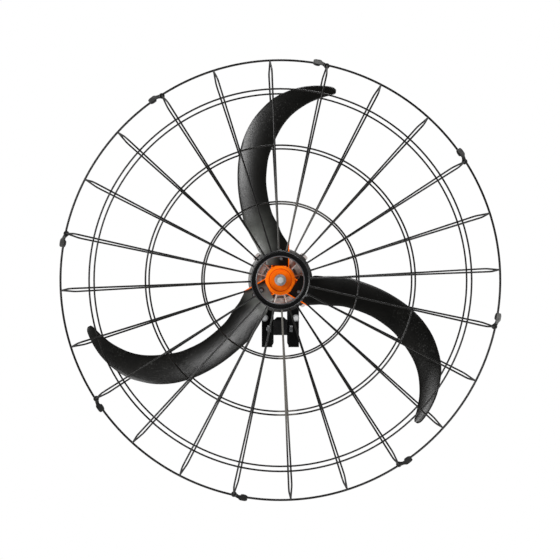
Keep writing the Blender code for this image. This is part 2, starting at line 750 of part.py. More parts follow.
def vent_cutters(low, high):
    """Return the wedges between the ribs of the front shield."""
    vents = []
    for step in range(SHIELD_RIB_COUNT):
        angle = FIRST_RIB_ANGLE + math.tau * (step + 0.5) / SHIELD_RIB_COUNT
        corners = [
            polar(VENT_INNER, angle - VENT_HALF_ANGLE),
            polar(VENT_OUTER, angle - VENT_HALF_ANGLE),
            polar(VENT_OUTER, angle + VENT_HALF_ANGLE),
            polar(VENT_INNER, angle + VENT_HALF_ANGLE),
        ]
        vents.append(prism([(corner.x, corner.y) for corner in corners], low, high))
    return gathered(vents)


def build_front_shield(head):
    """Add the motor's front shield with its ribs, vents, lugs and bearing seat."""
    inside = SHIELD_FACE - MOTOR_WALL
    back = SHIELD_FACE - SHIELD_LENGTH
    inner_radius = MOTOR_RADIUS - MOTOR_WALL
    seat = BEARING_OUTER + CLEARANCE
    seat_outer = seat + BEARING_SEAT_WALL
    seat_back = inside - BEARING_WIDTH
    lip = SHAFT_RADIUS + SHAFT_GAP
    shield = turned(
        [
            (lip, SHIELD_FACE + BEARING_LIP - MOTOR_WALL),
            (seat_outer, SHIELD_FACE + BEARING_LIP - MOTOR_WALL),
            (seat_outer, SHIELD_FACE),
            (MOTOR_RADIUS - SHIELD_BEVEL, SHIELD_FACE),
            (MOTOR_RADIUS, SHIELD_FACE - SHIELD_BEVEL),
            (MOTOR_RADIUS, back),
            (inner_radius, back),
            (inner_radius, SHIELD_FACE - SHIELD_BEVEL - MOTOR_WALL / 2),
            (inner_radius - SHIELD_BEVEL / 2, inside),
            (seat_outer, inside),
            (seat_outer, seat_back),
            (seat, seat_back),
            (seat, inside),
            (lip, inside),
        ],
        SHIELD_STEPS,
    )
    ribs = []
    for step in range(SHIELD_RIB_COUNT):
        half = SHIELD_RIB_WIDTH / 2
        low = (SHIELD_RIB_INNER, -half, SHIELD_FACE - MOTOR_WALL / 2)
        rib = box(low, (SHIELD_RIB_OUTER, half, SHIELD_FACE + SHIELD_RIB_HEIGHT))
        rib.data.transform(Matrix.Rotation(FIRST_RIB_ANGLE + math.tau * step / SHIELD_RIB_COUNT, 4, "Z"))
        ribs.append(rib)
    shield = joined(shield, gathered(ribs), motor_lugs(back, SHIELD_FACE - LUG_SETBACK))
    holes = tie_bolt_holes(back - OVERRUN, back + TIE_BOLT_ENGAGED + TIE_BOLT_END_ROOM)
    shield = cut(shield, vent_cutters(inside - OVERRUN, SHIELD_FACE + OVERRUN), holes)
    add_single("motor_front_shield", shield, MATERIALS["aluminium"], head)


def build_rear_shell(head):
    """Add the motor's rear shell with its lugs, its boss and its bearing pocket."""
    inside = SHELL_BACK + MOTOR_WALL
    inner_radius = MOTOR_RADIUS - MOTOR_WALL
    seat = BEARING_OUTER + CLEARANCE
    seat_front = REAR_POCKET_FLOOR + BEARING_WIDTH
    shell = turned(
        [
            (0, REAR_POCKET_FLOOR),
            (seat, REAR_POCKET_FLOOR),
            (seat, seat_front),
            (seat + BEARING_SEAT_WALL, seat_front),
            (seat + BEARING_SEAT_WALL, inside),
            (inner_radius - SHELL_BEVEL, inside),
            (inner_radius, inside + SHELL_BEVEL),
            (inner_radius, SHELL_FRONT),
            (MOTOR_RADIUS, SHELL_FRONT),
            (MOTOR_RADIUS, SHELL_BACK + SHELL_BEVEL),
            (MOTOR_RADIUS - SHELL_BEVEL, SHELL_BACK),
            (BOSS_RADIUS, SHELL_BACK),
            (BOSS_RADIUS, BOSS_BACK),
            (0, BOSS_BACK),
        ],
        SHIELD_STEPS,
        closed=False,
    )
    lug_end = SHELL_FRONT - SHELL_LUG_LENGTH
    shell = joined(shell, motor_lugs(lug_end, SHELL_FRONT))
    tie_holes = tie_bolt_holes(lug_end - OVERRUN, SHELL_FRONT + OVERRUN)
    grip = MOTOR_SCREW_GRIP + MOTOR_SCREW_END_ROOM
    screw_holes = motor_screw_holes(BOSS_BACK - OVERRUN, BOSS_BACK + grip)
    gland_hole = rod((0, -GLAND_DROP, BOSS_BACK - OVERRUN), (0, -GLAND_DROP, inside + OVERRUN), GLAND_BORE_RADIUS)
    shell = cut(shell, tie_holes, screw_holes, gland_hole)
    add_single("motor_rear_shell", shell, MATERIALS["aluminium"], head)


def build_tie_bolts(head):
    """Add the four bolts that hold the motor's shell on its shield."""
    length = CLEARANCE + SHELL_LUG_LENGTH + CLEARANCE + TIE_BOLT_ENGAGED
    bolt = headed_bolt(TIE_BOLT_HEAD, length, TIE_BOLT_RADIUS, TIE_BOLT_FLATS)
    bolt.data.transform(Matrix.Rotation(math.radians(180), 4, "X"))
    mesh = finished_mesh("tie_bolt", bolt, MATERIALS["bright_steel"])
    for number, (x, y, _) in enumerate(lug_places(), 1):
        add_piece(f"tie_bolt_{number}", mesh, head, (x, y, SHELL_FRONT - SHELL_LUG_LENGTH - CLEARANCE))


def build_stator(head):
    """Add the laminated core and the two winding heads."""
    core = washer(CORE_OUTER, CORE_INNER, CORE_BACK, CORE_FRONT, SHIELD_STEPS)
    add_single("stator_core", core, MATERIALS["core_steel"], head)
    ends = {
        "winding_front": (CORE_FRONT + CLEARANCE, FRONT_WINDING_LENGTH),
        "winding_rear": (CORE_BACK - CLEARANCE, -REAR_WINDING_LENGTH),
    }
    for name, (seat, length) in ends.items():
        bevel = math.copysign(WINDING_BEVEL, length)
        profile = [
            (WINDING_INNER, seat + length - bevel),
            (WINDING_INNER + WINDING_BEVEL, seat + length),
            (WINDING_OUTER - WINDING_BEVEL, seat + length),
            (WINDING_OUTER, seat + length - bevel),
            (WINDING_OUTER, seat),
            (WINDING_INNER, seat),
        ]
        if length < 0:
            profile.reverse()
        add_single(name, turned(profile), MATERIALS["copper"], head)


def build_bearings(head):
    """Add the two ball bearings in their seats."""
    seats = {
        "bearing_front": SHIELD_FACE - MOTOR_WALL - CLEARANCE,
        "bearing_rear": REAR_POCKET_FLOOR + CLEARANCE + BEARING_WIDTH,
    }
    for name, front in seats.items():
        bearing = washer(BEARING_OUTER, BEARING_INNER, front - BEARING_WIDTH, front, SMALL_STEPS)
        add_single(name, bearing, MATERIALS["bright_steel"], head)


def build_shaft(rotor):
    """Add the shaft, tapped at its front end."""
    front = CUP_FLOOR - CUP_WEB - CLEARANCE
    back = REAR_POCKET_FLOOR + CLEARANCE
    bore = HUB_BOLT_RADIUS + CLEARANCE
    head_seat = CUP_FLOOR + CLEARANCE + HUB_WASHER_SHEET + CLEARANCE
    bore_end = head_seat - HUB_BOLT_LENGTH - HUB_BOLT_END_ROOM
    shaft = turned(
        [(0, bore_end), (bore, bore_end), (bore, front), (SHAFT_RADIUS, front), (SHAFT_RADIUS, back), (0, back)],
        SMALL_STEPS,
        closed=False,
    )
    add_single("motor_shaft", shaft, MATERIALS["bright_steel"], rotor)


def build_rotor_core(rotor):
    """Add the rotor's core with its end rings."""
    outer = CORE_INNER - AIR_GAP
    inner = SHAFT_RADIUS + CLEARANCE
    ring_outer = outer - OVERRUN
    ring_inner = ring_outer - END_RING_WIDTH
    core = turned(
        [
            (inner, CORE_FRONT),
            (ring_inner, CORE_FRONT),
            (ring_inner, CORE_FRONT + END_RING_LENGTH),
            (ring_outer, CORE_FRONT + END_RING_LENGTH),
            (outer, CORE_FRONT),
            (outer, CORE_BACK),
            (ring_outer, CORE_BACK - END_RING_LENGTH),
            (ring_inner, CORE_BACK - END_RING_LENGTH),
            (ring_inner, CORE_BACK),
            (inner, CORE_BACK),
        ]
    )
    add_single("rotor_core", core, MATERIALS["core_steel"], rotor)


def arm_shape():
    """Return one arm of the hub along X: a floor, a long rib and a short one."""
    edge = RIB_INNER + ARM_RIB / 2
    outline = [(ARM_START, -edge), (ARM_REACH, -edge), (ARM_REACH, ARM_TIP_EDGE), (SHORT_RIB_REACH, edge), (ARM_START, edge)]
    floor = prism(outline, ARM_BACK, ARM_TOP)
    rib_top = ROOT_FRONT + RIB_ABOVE_ROOT
    long_rib = box((ARM_START, -RIB_INNER - ARM_RIB, ARM_BACK), (LONG_RIB_REACH, -RIB_INNER, rib_top))
    short_rib = box((ARM_START, RIB_INNER, ARM_BACK), (SHORT_RIB_REACH, RIB_INNER + ARM_RIB, rib_top))
    return joined(floor, long_rib, short_rib)


def root_screw_holes(low, high):
    """Return the holes for the screws of one blade."""
    radius = BLADE_SCREW_RADIUS + CLEARANCE
    return gathered([rod((x, y, low), (x, y, high), radius) for x, y in ROOT_SCREWS])


def build_hub(rotor):
    """Add the moulded hub: a cup with three flats and three arms."""
    bore = SHAFT_RADIUS + CLEARANCE
    bolt_hole = HUB_BOLT_RADIUS + CLEARANCE
    web_back = CUP_FLOOR - CUP_WEB
    hub = turned(
        [
            (CUP_RECESS, CUP_FRONT),
            (CUP_RADIUS - CUP_LIP, CUP_FRONT),
            (CUP_RADIUS, CUP_FRONT - CUP_LIP),
            (CUP_RADIUS, CUP_BACK),
            (HUB_BOSS_RADIUS, CUP_BACK),
            (HUB_BOSS_RADIUS, CUP_BACK - HUB_BOSS_LENGTH),
            (bore, CUP_BACK - HUB_BOSS_LENGTH),
            (bore, web_back),
            (bolt_hole, web_back),
            (bolt_hole, CUP_FLOOR),
            (CUP_RECESS - CUP_RECESS_DRAFT, CUP_FLOOR),
        ],
        HUB_STEPS,
    )
    flat_low = (CUP_FLAT, CLEARANCE - ROOT_HALF_WIDTH, ROOT_BACK)
    flat_high = (CUP_RADIUS + OVERRUN, ROOT_HALF_WIDTH - CLEARANCE, CUP_FRONT + OVERRUN)
    for angle in ARM_ANGLES:
        turn = Matrix.Rotation(angle, 4, "Z")
        arm = arm_shape()
        flat = box(flat_low, flat_high)
        holes = root_screw_holes(ARM_BACK - OVERRUN, ARM_TOP + OVERRUN)
        for shape in (arm, flat, holes):
            shape.data.transform(turn)
        hub = cut(joined(cut(hub, flat), arm), holes)
    add_single("hub", hub, MATERIALS["orange_plastic"], rotor)


def blade_rows():
    """Return the blade's cross rows: both edges, then fall, flat share and thickness share."""
    leading = Vector((ROOT_LEADING_ALONG, ROOT_LEADING_ACROSS, 0))
    rows = [(Vector((CUP_FLAT + CLEARANCE, -ROOT_HALF_WIDTH, 0)), leading, 0.10, 0.78, 1.0)]
    for along, radius, angle, fall, flat, thick in ROOT_ROW_SHARES:
        trailing = Vector((along * LONG_RIB_REACH, -ROOT_HALF_WIDTH, 0))
        rows.append((trailing, polar(radius * BLADE_RADIUS, math.radians(angle)), fall, flat, thick))
    for inner, inner_angle, outer, outer_angle, fall, flat, thick in BLADE_ROW_SHARES:
        trailing = polar(inner * BLADE_RADIUS, math.radians(inner_angle))
        leading = polar(outer * BLADE_RADIUS, math.radians(outer_angle))
        rows.append((trailing, leading, fall, flat, thick))
    return rows


def blade_shape():
    """Return one blade along X: a loft of its rows, with the screw holes of its root."""
    bm = bmesh.new()
    sections = []
    for trailing, leading, fall, flat, thick in blade_rows():
        front = []
        back = []
        wall = BLADE_THICKNESS + (ROOT_THICKNESS - BLADE_THICKNESS) * thick
        for step in range(BLADE_CHORD_STEPS + 1):
            share = step / BLADE_CHORD_STEPS
            bent = max(0, share - flat) / (1 - flat)
            point = trailing.lerp(leading, share)
            point.z = ROOT_FRONT - BLADE_FALL * fall * bent**BLADE_FALL_POWER
            front.append(bm.verts.new(point))
            back.append(bm.verts.new(point - Vector((0, 0, wall))))
        sections.append(front + back[::-1])
    for first, second in zip(sections, sections[1:]):
        count = len(first)
        for here in range(count):
            after = (here + 1) % count
            bm.faces.new((first[here], first[after], second[after], second[here]))
    for ring in (sections[0], sections[-1]):
        half = len(ring) // 2
        for step in range(half - 1):
            bm.faces.new((ring[step], ring[step + 1], ring[-2 - step], ring[-1 - step]))
    boss_top = ROOT_FRONT + BLADE_BOSS_HEIGHT
    middle = (ROOT_BACK + ROOT_FRONT) / 2
    bosses = gathered([rod((x, y, middle), (x, y, boss_top), BLADE_BOSS_RADIUS) for x, y in ROOT_SCREWS])
    return cut(joined(shape_from_bmesh(bm), bosses), root_screw_holes(ROOT_BACK - OVERRUN, boss_top + OVERRUN))


def build_blades(rotor):
    """Add the three blades and the screws in their roots."""
    blade = finished_mesh("blade", blade_shape(), MATERIALS["black_plastic"])
    under_head = ROOT_FRONT + BLADE_BOSS_HEIGHT + CLEARANCE
    shank = rod((0, 0, BLADE_SCREW_HEAD / 2), (0, 0, ARM_BACK - under_head), BLADE_SCREW_RADIUS)
    head = rod((0, 0, 0), (0, 0, BLADE_SCREW_HEAD), BLADE_SCREW_HEAD_RADIUS, end_radius=BLADE_SCREW_CROWN_RADIUS)
    screw = finished_mesh("blade_screw", joined(head, shank), MATERIALS["bright_steel"])
    for number, angle in enumerate(ARM_ANGLES, 1):
        add_piece(f"blade_{number}", blade, rotor, turn=angle)
        for letter, (along, across) in zip("ab", ROOT_SCREWS):
            place = polar(along, angle, under_head, across)
            add_piece(f"blade_screw_{number}{letter}", screw, rotor, place, angle)


def build_hub_fasteners(rotor):
    """Add the washer and the bolt in the hub's cup."""
    washer_back = CUP_FLOOR + CLEARANCE
    washer_front = washer_back + HUB_WASHER_SHEET
    plate = washer(HUB_WASHER_RADIUS, HUB_BOLT_RADIUS + CLEARANCE, washer_back, washer_front)
    add_single("hub_washer", plate, MATERIALS["bright_steel"], rotor)
    bolt = headed_bolt(HUB_BOLT_HEAD, HUB_BOLT_LENGTH, HUB_BOLT_RADIUS, HUB_BOLT_FLATS)
    mesh = finished_mesh("hub_bolt", bolt, MATERIALS["bright_steel"])
    add_piece("hub_bolt", mesh, rotor, (0, 0, washer_front + CLEARANCE))


def build_fork(head):
    """Add the fork: a base behind the motor and two webs that run down past the tilt pivot."""
    base_outline = [
        (-FORK_BASE_HALF_WIDTH, -FORK_BASE_BOTTOM),
        (FORK_BASE_HALF_WIDTH, -FORK_BASE_BOTTOM),
        (FORK_BASE_HALF_WIDTH, FORK_BASE_TOP - FORK_BASE_CHAMFER_HEIGHT),
        (FORK_BASE_HALF_WIDTH - FORK_BASE_CHAMFER_WIDTH, FORK_BASE_TOP),
        (FORK_BASE_CHAMFER_WIDTH - FORK_BASE_HALF_WIDTH, FORK_BASE_TOP),
        (-FORK_BASE_HALF_WIDTH, FORK_BASE_TOP - FORK_BASE_CHAMFER_HEIGHT),
    ]
    window = circle(GLAND_FLANGE_RADIUS + OVERRUN, SMALL_STEPS, (0, -GLAND_DROP))
    fork = prism(base_outline, FORK_BACK, FORK_FRONT, [window])
    front_edge = PIVOT_IN_HEAD + FORK_WEB_FRONT
    back_edge = PIVOT_IN_HEAD - FORK_WEB_BACK
    tail = -PIVOT_DROP - FORK_TAIL_DROP
    base_middle = FORK_FRONT - FORK_SHEET / 2
    web_outline = [
        (base_middle, FORK_WEB_TOP),
        (FORK_BACK - FORK_SHEET, FORK_WEB_TOP),
        (back_edge, -PIVOT_DROP + FORK_WEB_FRONT),
        (back_edge, tail + FORK_TAIL_CHAMFER),
        (back_edge + FORK_TAIL_CHAMFER, tail),
        (front_edge - FORK_TAIL_CHAMFER, tail),
        (front_edge, tail + FORK_TAIL_CHAMFER),
        (front_edge, -PIVOT_DROP + FORK_WEB_FRONT),
        (base_middle, FORK_SHEET - FORK_BASE_BOTTOM),
    ]
    webs = [side_prism(web_outline, WEB_INNER, WEB_OUTER), side_prism(web_outline, -WEB_OUTER, -WEB_INNER)]
    fork = joined(fork, *webs)
    pivot_hole = rod(
        (-WEB_OUTER - OVERRUN, -PIVOT_DROP, PIVOT_IN_HEAD),
        (WEB_OUTER + OVERRUN, -PIVOT_DROP, PIVOT_IN_HEAD),
        TILT_BOLT_RADIUS + CLEARANCE,
    )
    fork = cut(fork, pivot_hole, motor_screw_holes(FORK_BACK - OVERRUN, FORK_FRONT + OVERRUN))
    add_single("tilt_fork", fork, MATERIALS["black_steel"], head)


def build_motor_screws(head):
    """Add the four screws that clamp the fork and the guard to the motor."""
    grip = FORK_SHEET + CLEARANCE + GUARD_PLATE_SHEET + CLEARANCE + MOTOR_SCREW_GRIP
    screw = headed_bolt(MOTOR_SCREW_RADIUS, grip, MOTOR_SCREW_RADIUS, MOTOR_SCREW_FLATS)
    screw.data.transform(Matrix.Rotation(math.radians(180), 4, "X"))
    mesh = finished_mesh("motor_screw", screw, MATERIALS["bright_steel"])
    offsets = (-MOTOR_SCREW_OFFSET, MOTOR_SCREW_OFFSET)
    places = [(x, y, FORK_BACK - CLEARANCE) for x in offsets for y in offsets]
    for number, place in enumerate(places, 1):
        add_piece(f"motor_screw_{number}", mesh, head, place)


def build_capacitor(head):
    """Add the run capacitor behind the fork's base, and the strap that holds it there."""
    half = CAPACITOR_LENGTH / 2
    forward = FORK_BACK - CLEARANCE - CAPACITOR_RADIUS
    body_half = half - CAPACITOR_BEVEL
    top = CAPACITOR_RADIUS - CAPACITOR_BEVEL
    can = turned(
        [(0, half), (top, half), (CAPACITOR_RADIUS, body_half), (CAPACITOR_RADIUS, -body_half), (top, -half), (0, -half)],
        SMALL_STEPS,
        closed=False,
    )
    can.data.transform(Matrix.Rotation(math.radians(90), 4, "Y"))
    can.data.transform(Matrix.Translation((0, CAPACITOR_HEIGHT, forward)))
    add_single("capacitor", can, MATERIALS["black_plastic"], head)
    inner = CAPACITOR_RADIUS + CLEARANCE
    outer = inner + STRAP_SHEET
    foot_top = FORK_BACK - CLEARANCE - STRAP_SHEET
    foot_reach = outer + STRAP_FOOT
    foot_base = FORK_BACK - CLEARANCE
    up = CAPACITOR_HEIGHT
    angles = [math.pi * (step / STRAP_ARC_STEPS) for step in range(STRAP_ARC_STEPS + 1)]
    outline = [(foot_base, up + foot_reach), (foot_base, up + inner)]
    outline += [(forward - inner * math.sin(a), up + inner * math.cos(a)) for a in angles]
    outline += [(foot_base, up - inner), (foot_base, up - foot_reach), (foot_top, up - foot_reach), (foot_top, up - outer)]
    outline += [(forward - outer * math.sin(a), up - outer * math.cos(a)) for a in angles]
    outline += [(foot_top, up + outer), (foot_top, up + foot_reach)]
    strap = side_prism(outline, -STRAP_WIDTH / 2, STRAP_WIDTH / 2)
    add_single("capacitor_strap", strap, MATERIALS["bright_steel"], head)


def build_gland(head):
    """Add the cable gland on the motor's boss."""
    seat = BOSS_BACK - CLEARANCE
    flange = seat - GLAND_FLANGE_LENGTH
    gland = turned(
        [
            (GLAND_BORE_RADIUS, seat),
            (GLAND_FLANGE_RADIUS, seat),
            (GLAND_FLANGE_RADIUS, flange),
            (GLAND_NUT_RADIUS, flange),
            (GLAND_NUT_RADIUS, seat - GLAND_LENGTH),
            (GLAND_BORE_RADIUS, seat - GLAND_LENGTH),
        ],
        BOLT_SIDES,
    )
    gland.data.transform(Matrix.Translation((0, -GLAND_DROP, 0)))
    add_single("cable_gland", gland, MATERIALS["black_plastic"], head)


def build_wall_bracket(wall):
    """Add the wall bracket: its plate, its two legs and its ears."""
    leg_inner = SLOT_HALF_WIDTH - CLEARANCE
    right = [
        (leg_inner, -SLOT_TOP),
        (leg_inner, LEG_CHAMFER_HEIGHT - BRACKET_BOTTOM),
        (leg_inner + LEG_CHAMFER_WIDTH, -BRACKET_BOTTOM),
        (BRACKET_HALF_WIDTH, -BRACKET_BOTTOM),
        (BRACKET_HALF_WIDTH, BRACKET_TOP),
    ]
    outline = right + [(-x, y) for x, y in reversed(right)]
    holes = []
    for x in (-WALL_SCREW_SIDE, WALL_SCREW_SIDE):
        for y in WALL_SCREW_HEIGHTS:
            holes.append(circle(WALL_SCREW_RADIUS + CLEARANCE, BOLT_SIDES, (x, y)))
    bracket = prism(outline, 0, BRACKET_SHEET, holes)
    ear_front = PIVOT_STANDOFF + EAR_PAST_PIVOT
    ear_top = EAR_ABOVE_PIVOT - PIVOT_DROP
    ear_bottom = -EAR_BELOW_PIVOT - PIVOT_DROP
    ear_outline = [
        (BRACKET_SHEET / 2, ear_top),
        (BRACKET_SHEET / 2, ear_bottom),
        (ear_front - EAR_CHAMFER, ear_bottom),
        (ear_front, ear_bottom + EAR_CHAMFER),
        (ear_front, ear_top - EAR_CHAMFER),
        (ear_front - EAR_CHAMFER, ear_top),
    ]
    ears = [side_prism(ear_outline, SLOT_HALF_WIDTH, EAR_OUTER), side_prism(ear_outline, -EAR_OUTER, -SLOT_HALF_WIDTH)]
    bracket = joined(bracket, *ears)
    pivot_hole = rod(
        (-EAR_OUTER - OVERRUN, -PIVOT_DROP, PIVOT_STANDOFF),
        (EAR_OUTER + OVERRUN, -PIVOT_DROP, PIVOT_STANDOFF),
        TILT_BOLT_RADIUS + CLEARANCE,
    )
    add_single("wall_bracket", cut(bracket, pivot_hole), MATERIALS["black_steel"], wall)


def build_wall_fasteners(wall):
    """Add the four wall screws and their washers."""
    washer_back = BRACKET_SHEET + CLEARANCE
    washer_front = washer_back + WALL_WASHER_SHEET
    plate = washer(WALL_WASHER_RADIUS, WALL_SCREW_RADIUS + CLEARANCE, washer_back, washer_front)
    washer_mesh = finished_mesh("wall_washer", plate, MATERIALS["bright_steel"])
    screw = headed_bolt(WALL_SCREW_HEAD, WALL_SCREW_LENGTH, WALL_SCREW_RADIUS, WALL_SCREW_FLATS, WALL_SCREW_POINT)
    screw_mesh = finished_mesh("wall_screw", screw, MATERIALS["bright_steel"])
    number = 0
    for y in WALL_SCREW_HEIGHTS:
        for x in (-WALL_SCREW_SIDE, WALL_SCREW_SIDE):
            number += 1
            add_piece(f"wall_washer_{number}", washer_mesh, wall, (x, y, 0))
            add_piece(f"wall_screw_{number}", screw_mesh, wall, (x, y, washer_front + CLEARANCE))


def build_spacer_block(wall):
    """Add the block between the ears, whose cap lies on their top edges."""
    half = SLOT_HALF_WIDTH - CLEARANCE
    ear_top = EAR_ABOVE_PIVOT - PIVOT_DROP
    cap_back = ear_top + CLEARANCE
    cap_top = cap_back + BLOCK_CAP
    low = -EAR_BELOW_PIVOT - PIVOT_DROP
    back = PIVOT_STANDOFF - BLOCK_BACK_PAST_PIVOT
    front = PIVOT_STANDOFF + BLOCK_FRONT_PAST_PIVOT
    body = box((-half, low, back), (half, cap_top, front))
    cap = box((-EAR_OUTER, cap_back, back), (EAR_OUTER, cap_top, front))
    nose_outline = [
        (-BLOCK_NOSE_BASE / 2, cap_top - BLOCK_CAP / 2),
        (BLOCK_NOSE_BASE / 2, cap_top - BLOCK_CAP / 2),
        (BLOCK_NOSE_BASE / 2, cap_top),
        (BLOCK_NOSE_TOP / 2, cap_top + BLOCK_NOSE_HEIGHT),
        (-BLOCK_NOSE_TOP / 2, cap_top + BLOCK_NOSE_HEIGHT),
        (-BLOCK_NOSE_BASE / 2, cap_top),
    ]
    nose = prism(nose_outline, back + BLOCK_NOSE_INSET, front - BLOCK_NOSE_INSET)
    hole = rod(
        (-half - OVERRUN, -PIVOT_DROP, PIVOT_STANDOFF),
        (half + OVERRUN, -PIVOT_DROP, PIVOT_STANDOFF),
        TILT_BOLT_RADIUS + CLEARANCE,
    )
    add_single("spacer_block", cut(joined(body, cap, nose), hole), MATERIALS["black_plastic"], wall)


def build_tilt_bolt(wall):
    """Add the tilt bolt with its washers and its nut, on X through the pivot."""
    washer_inside = WEB_OUTER + CLEARANCE
    washer_outside = washer_inside + TILT_WASHER_SHEET
    head_seat = washer_outside + CLEARANCE
    bore = TILT_BOLT_RADIUS + CLEARANCE
    length = head_seat + head_seat + TILT_NUT_HEIGHT + TILT_BOLT_BEYOND_NUT
    along_x = Matrix.Rotation(math.radians(90), 4, "Y")
    pivot = (0, -PIVOT_DROP, PIVOT_STANDOFF)
    bolt = headed_bolt(TILT_BOLT_HEAD, length, TILT_BOLT_RADIUS, TILT_BOLT_FLATS)
    bolt.data.transform(along_x @ Matrix.Translation((0, 0, head_seat)))
    add_piece("tilt_bolt", finished_mesh("tilt_bolt", bolt, MATERIALS["bright_steel"]), wall, pivot)
    nut = hex_head((0, 0, -head_seat - TILT_NUT_HEIGHT), (0, 0, -head_seat), TILT_BOLT_FLATS)
    nut = cut(nut, rod((0, 0, -head_seat - TILT_NUT_HEIGHT - OVERRUN), (0, 0, 0), bore))
    nut.data.transform(along_x)
    add_piece("tilt_nut", finished_mesh("tilt_nut", nut, MATERIALS["bright_steel"]), wall, pivot)
    plate = washer(TILT_WASHER_RADIUS, bore, washer_inside, washer_outside)
    plate.data.transform(along_x)
    mesh = finished_mesh("tilt_washer", plate, MATERIALS["bright_steel"])
    add_piece("tilt_washer_right", mesh, wall, pivot)
    add_piece("tilt_washer_left", mesh, wall, pivot, math.pi)


def build_fan():
    """Build every piece on its frame."""
    wall = make_frame("wall_frame", rotation=(math.radians(90), 0, 0))
    tilt = make_frame("tilt_axis", wall, (0, -PIVOT_DROP, PIVOT_STANDOFF))
    head = make_frame("head_frame", tilt, (0, PIVOT_DROP, RIM_STANDOFF - PIVOT_STANDOFF))
    rotor = make_frame("rotor_axis", head)
    build_wall_bracket(wall)
    build_wall_fasteners(wall)
    build_spacer_block(wall)
    build_tilt_bolt(wall)
    build_fork(head)
    build_motor_screws(head)
    build_capacitor(head)
    build_gland(head)
    build_rear_shell(head)
    build_front_shield(head)
    build_tie_bolts(head)
    build_stator(head)
    build_bearings(head)
    build_rear_guard(head)
    build_front_guard(head)
    build_badge_ring(head)
    build_clips(head)
    build_shaft(rotor)
    build_rotor_core(rotor)
    build_hub(rotor)
    build_hub_fasteners(rotor)
    build_blades(rotor)


clear_scene()
PIECES = bpy.data.collections.new("wall_fan")
bpy.context.scene.collection.children.link(PIECES)
MATERIALS = {
    "wire": make_material("black_wire", (0.012, 0.012, 0.013), 0.38),
    "black_steel": make_material("black_steel", (0.010, 0.010, 0.011), 0.45),
    "black_plastic": make_material("black_plastic", (0.016, 0.016, 0.016), 0.42),
    "clip_plastic": make_material("clip_plastic", (0.020, 0.020, 0.022), 0.55),
    "orange_plastic": make_material("orange_plastic", (0.83, 0.16, 0.004), 0.35),
    "aluminium": make_material("cast_aluminium", (0.52, 0.50, 0.48), 0.45, 1.0),
    "bright_steel": make_material("bright_steel", (0.66, 0.66, 0.67), 0.28, 1.0),
    "core_steel": make_material("core_steel", (0.20, 0.20, 0.21), 0.45, 1.0),
    "copper": make_material("copper_winding", (0.34, 0.17, 0.10), 0.40, 0.6),
}
build_fan()
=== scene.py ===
"""Looks of the wall fan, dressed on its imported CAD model."""

import math

import bmesh
import bpy
from mathutils import Matrix, Vector


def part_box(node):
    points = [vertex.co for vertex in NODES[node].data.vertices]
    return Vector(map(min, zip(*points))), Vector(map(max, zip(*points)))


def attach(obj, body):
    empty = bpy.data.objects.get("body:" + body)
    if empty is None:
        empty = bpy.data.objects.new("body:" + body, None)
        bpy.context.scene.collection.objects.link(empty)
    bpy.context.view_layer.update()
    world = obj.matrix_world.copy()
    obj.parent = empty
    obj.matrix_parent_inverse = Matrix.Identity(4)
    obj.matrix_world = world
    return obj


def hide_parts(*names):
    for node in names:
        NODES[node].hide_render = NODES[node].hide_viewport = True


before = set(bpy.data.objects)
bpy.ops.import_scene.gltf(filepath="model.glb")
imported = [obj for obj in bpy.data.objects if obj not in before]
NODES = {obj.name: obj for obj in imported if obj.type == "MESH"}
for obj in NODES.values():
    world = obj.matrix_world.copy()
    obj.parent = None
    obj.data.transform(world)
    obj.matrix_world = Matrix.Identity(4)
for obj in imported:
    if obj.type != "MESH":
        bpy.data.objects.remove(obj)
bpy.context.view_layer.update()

# Sizes are in metres, in the head's own axes: X right, Y up, Z out of the wall from the guard's joint plane
RIM_STANDOFF = 0.225
SEAT_GAP = 0.0003

# Wire guard. SPOKE_SEAT is the CAD's spoke, on which the badge and the rear plate seat.
SPOKES = 24
FIRST_SPOKE = math.radians(2.75)
SPOKE_WIRE = 0.0041
SPOKE_SEAT = 0.0038
RING_WIRE = 0.0041
RIM_WIRE = 0.0046
RIM_RADIUS = 0.4974
RIM_OFFSET = 0.0025
WELD_DEPTH = 0.0007
STUB_RADIUS = 0.4945
STUB_LENGTH = 0.018
STUB_BEND = 0.010
KNEE_RADIUS = 0.470
KNEE_PROUD = 0.0015
KNEE_BEND = 0.011
FACE_DEPTH = 0.070
FRONT_CROWN = 0.080
EYE_RADIUS = 0.058
RING_SHARES = (0.9085, 0.6404, 0.3723)
RING_DROP = 0.00325
SKEW_RATE = 0.0097
SKEW_RADIUS = 0.091
BEND_STEPS = 5
RING_STEPS = 160
RIM_STEPS = 240
WIRE_RESOLUTION = 3

# Painted highlights on some wires: middle angle and half spread in degrees, radii over which they thin out,
# and their colour.
# Each painted highlight is full over a share of its spread.
WIRE_PAINTED_HIGHLIGHTS = (
    (72, 28, 0.15, 0.26, (0.062, 0.059, 0.053)),
    (-87.25, 5, 0.30, 0.40, (0.098, 0.092, 0.081)),
)
WIRE_HIGHLIGHT_CORE = 0.6

# Ring of sheet metal in the middle of the rear guard
PLATE_INNER = 0.034
PLATE_OUTER = 0.066
PLATE_SHEET = 0.002
PLATE_STEPS = 96

# Badge ring: radius and height over its seat, with a fine lip at both edges of a flat face
BADGE_PROFILE = (
    (0.0516, 0.0), (0.0516, 0.0038), (0.0519, 0.0050), (0.0525, 0.0058), (0.0532, 0.0060), (0.0538, 0.0056),
    (0.0543, 0.0047), (0.0550, 0.0043), (0.0628, 0.0043), (0.0634, 0.0047), (0.0639, 0.0056),
    (0.0645, 0.0060), (0.0652, 0.0057), (0.0657, 0.0049), (0.0660, 0.0037), (0.0660, 0.0),
)
BADGE_STEPS = 128

# Painted highlights on its lips: inner radius, outer radius and how pale, the blur of their edges and their
# touch of blue
BADGE_LIP_HIGHLIGHTS = ((0.0520, 0.0541, 0.085), (0.0642, 0.0654, 0.040))
BADGE_HIGHLIGHT_BLUR = 0.0003
BADGE_HIGHLIGHT_TINT = 1.05
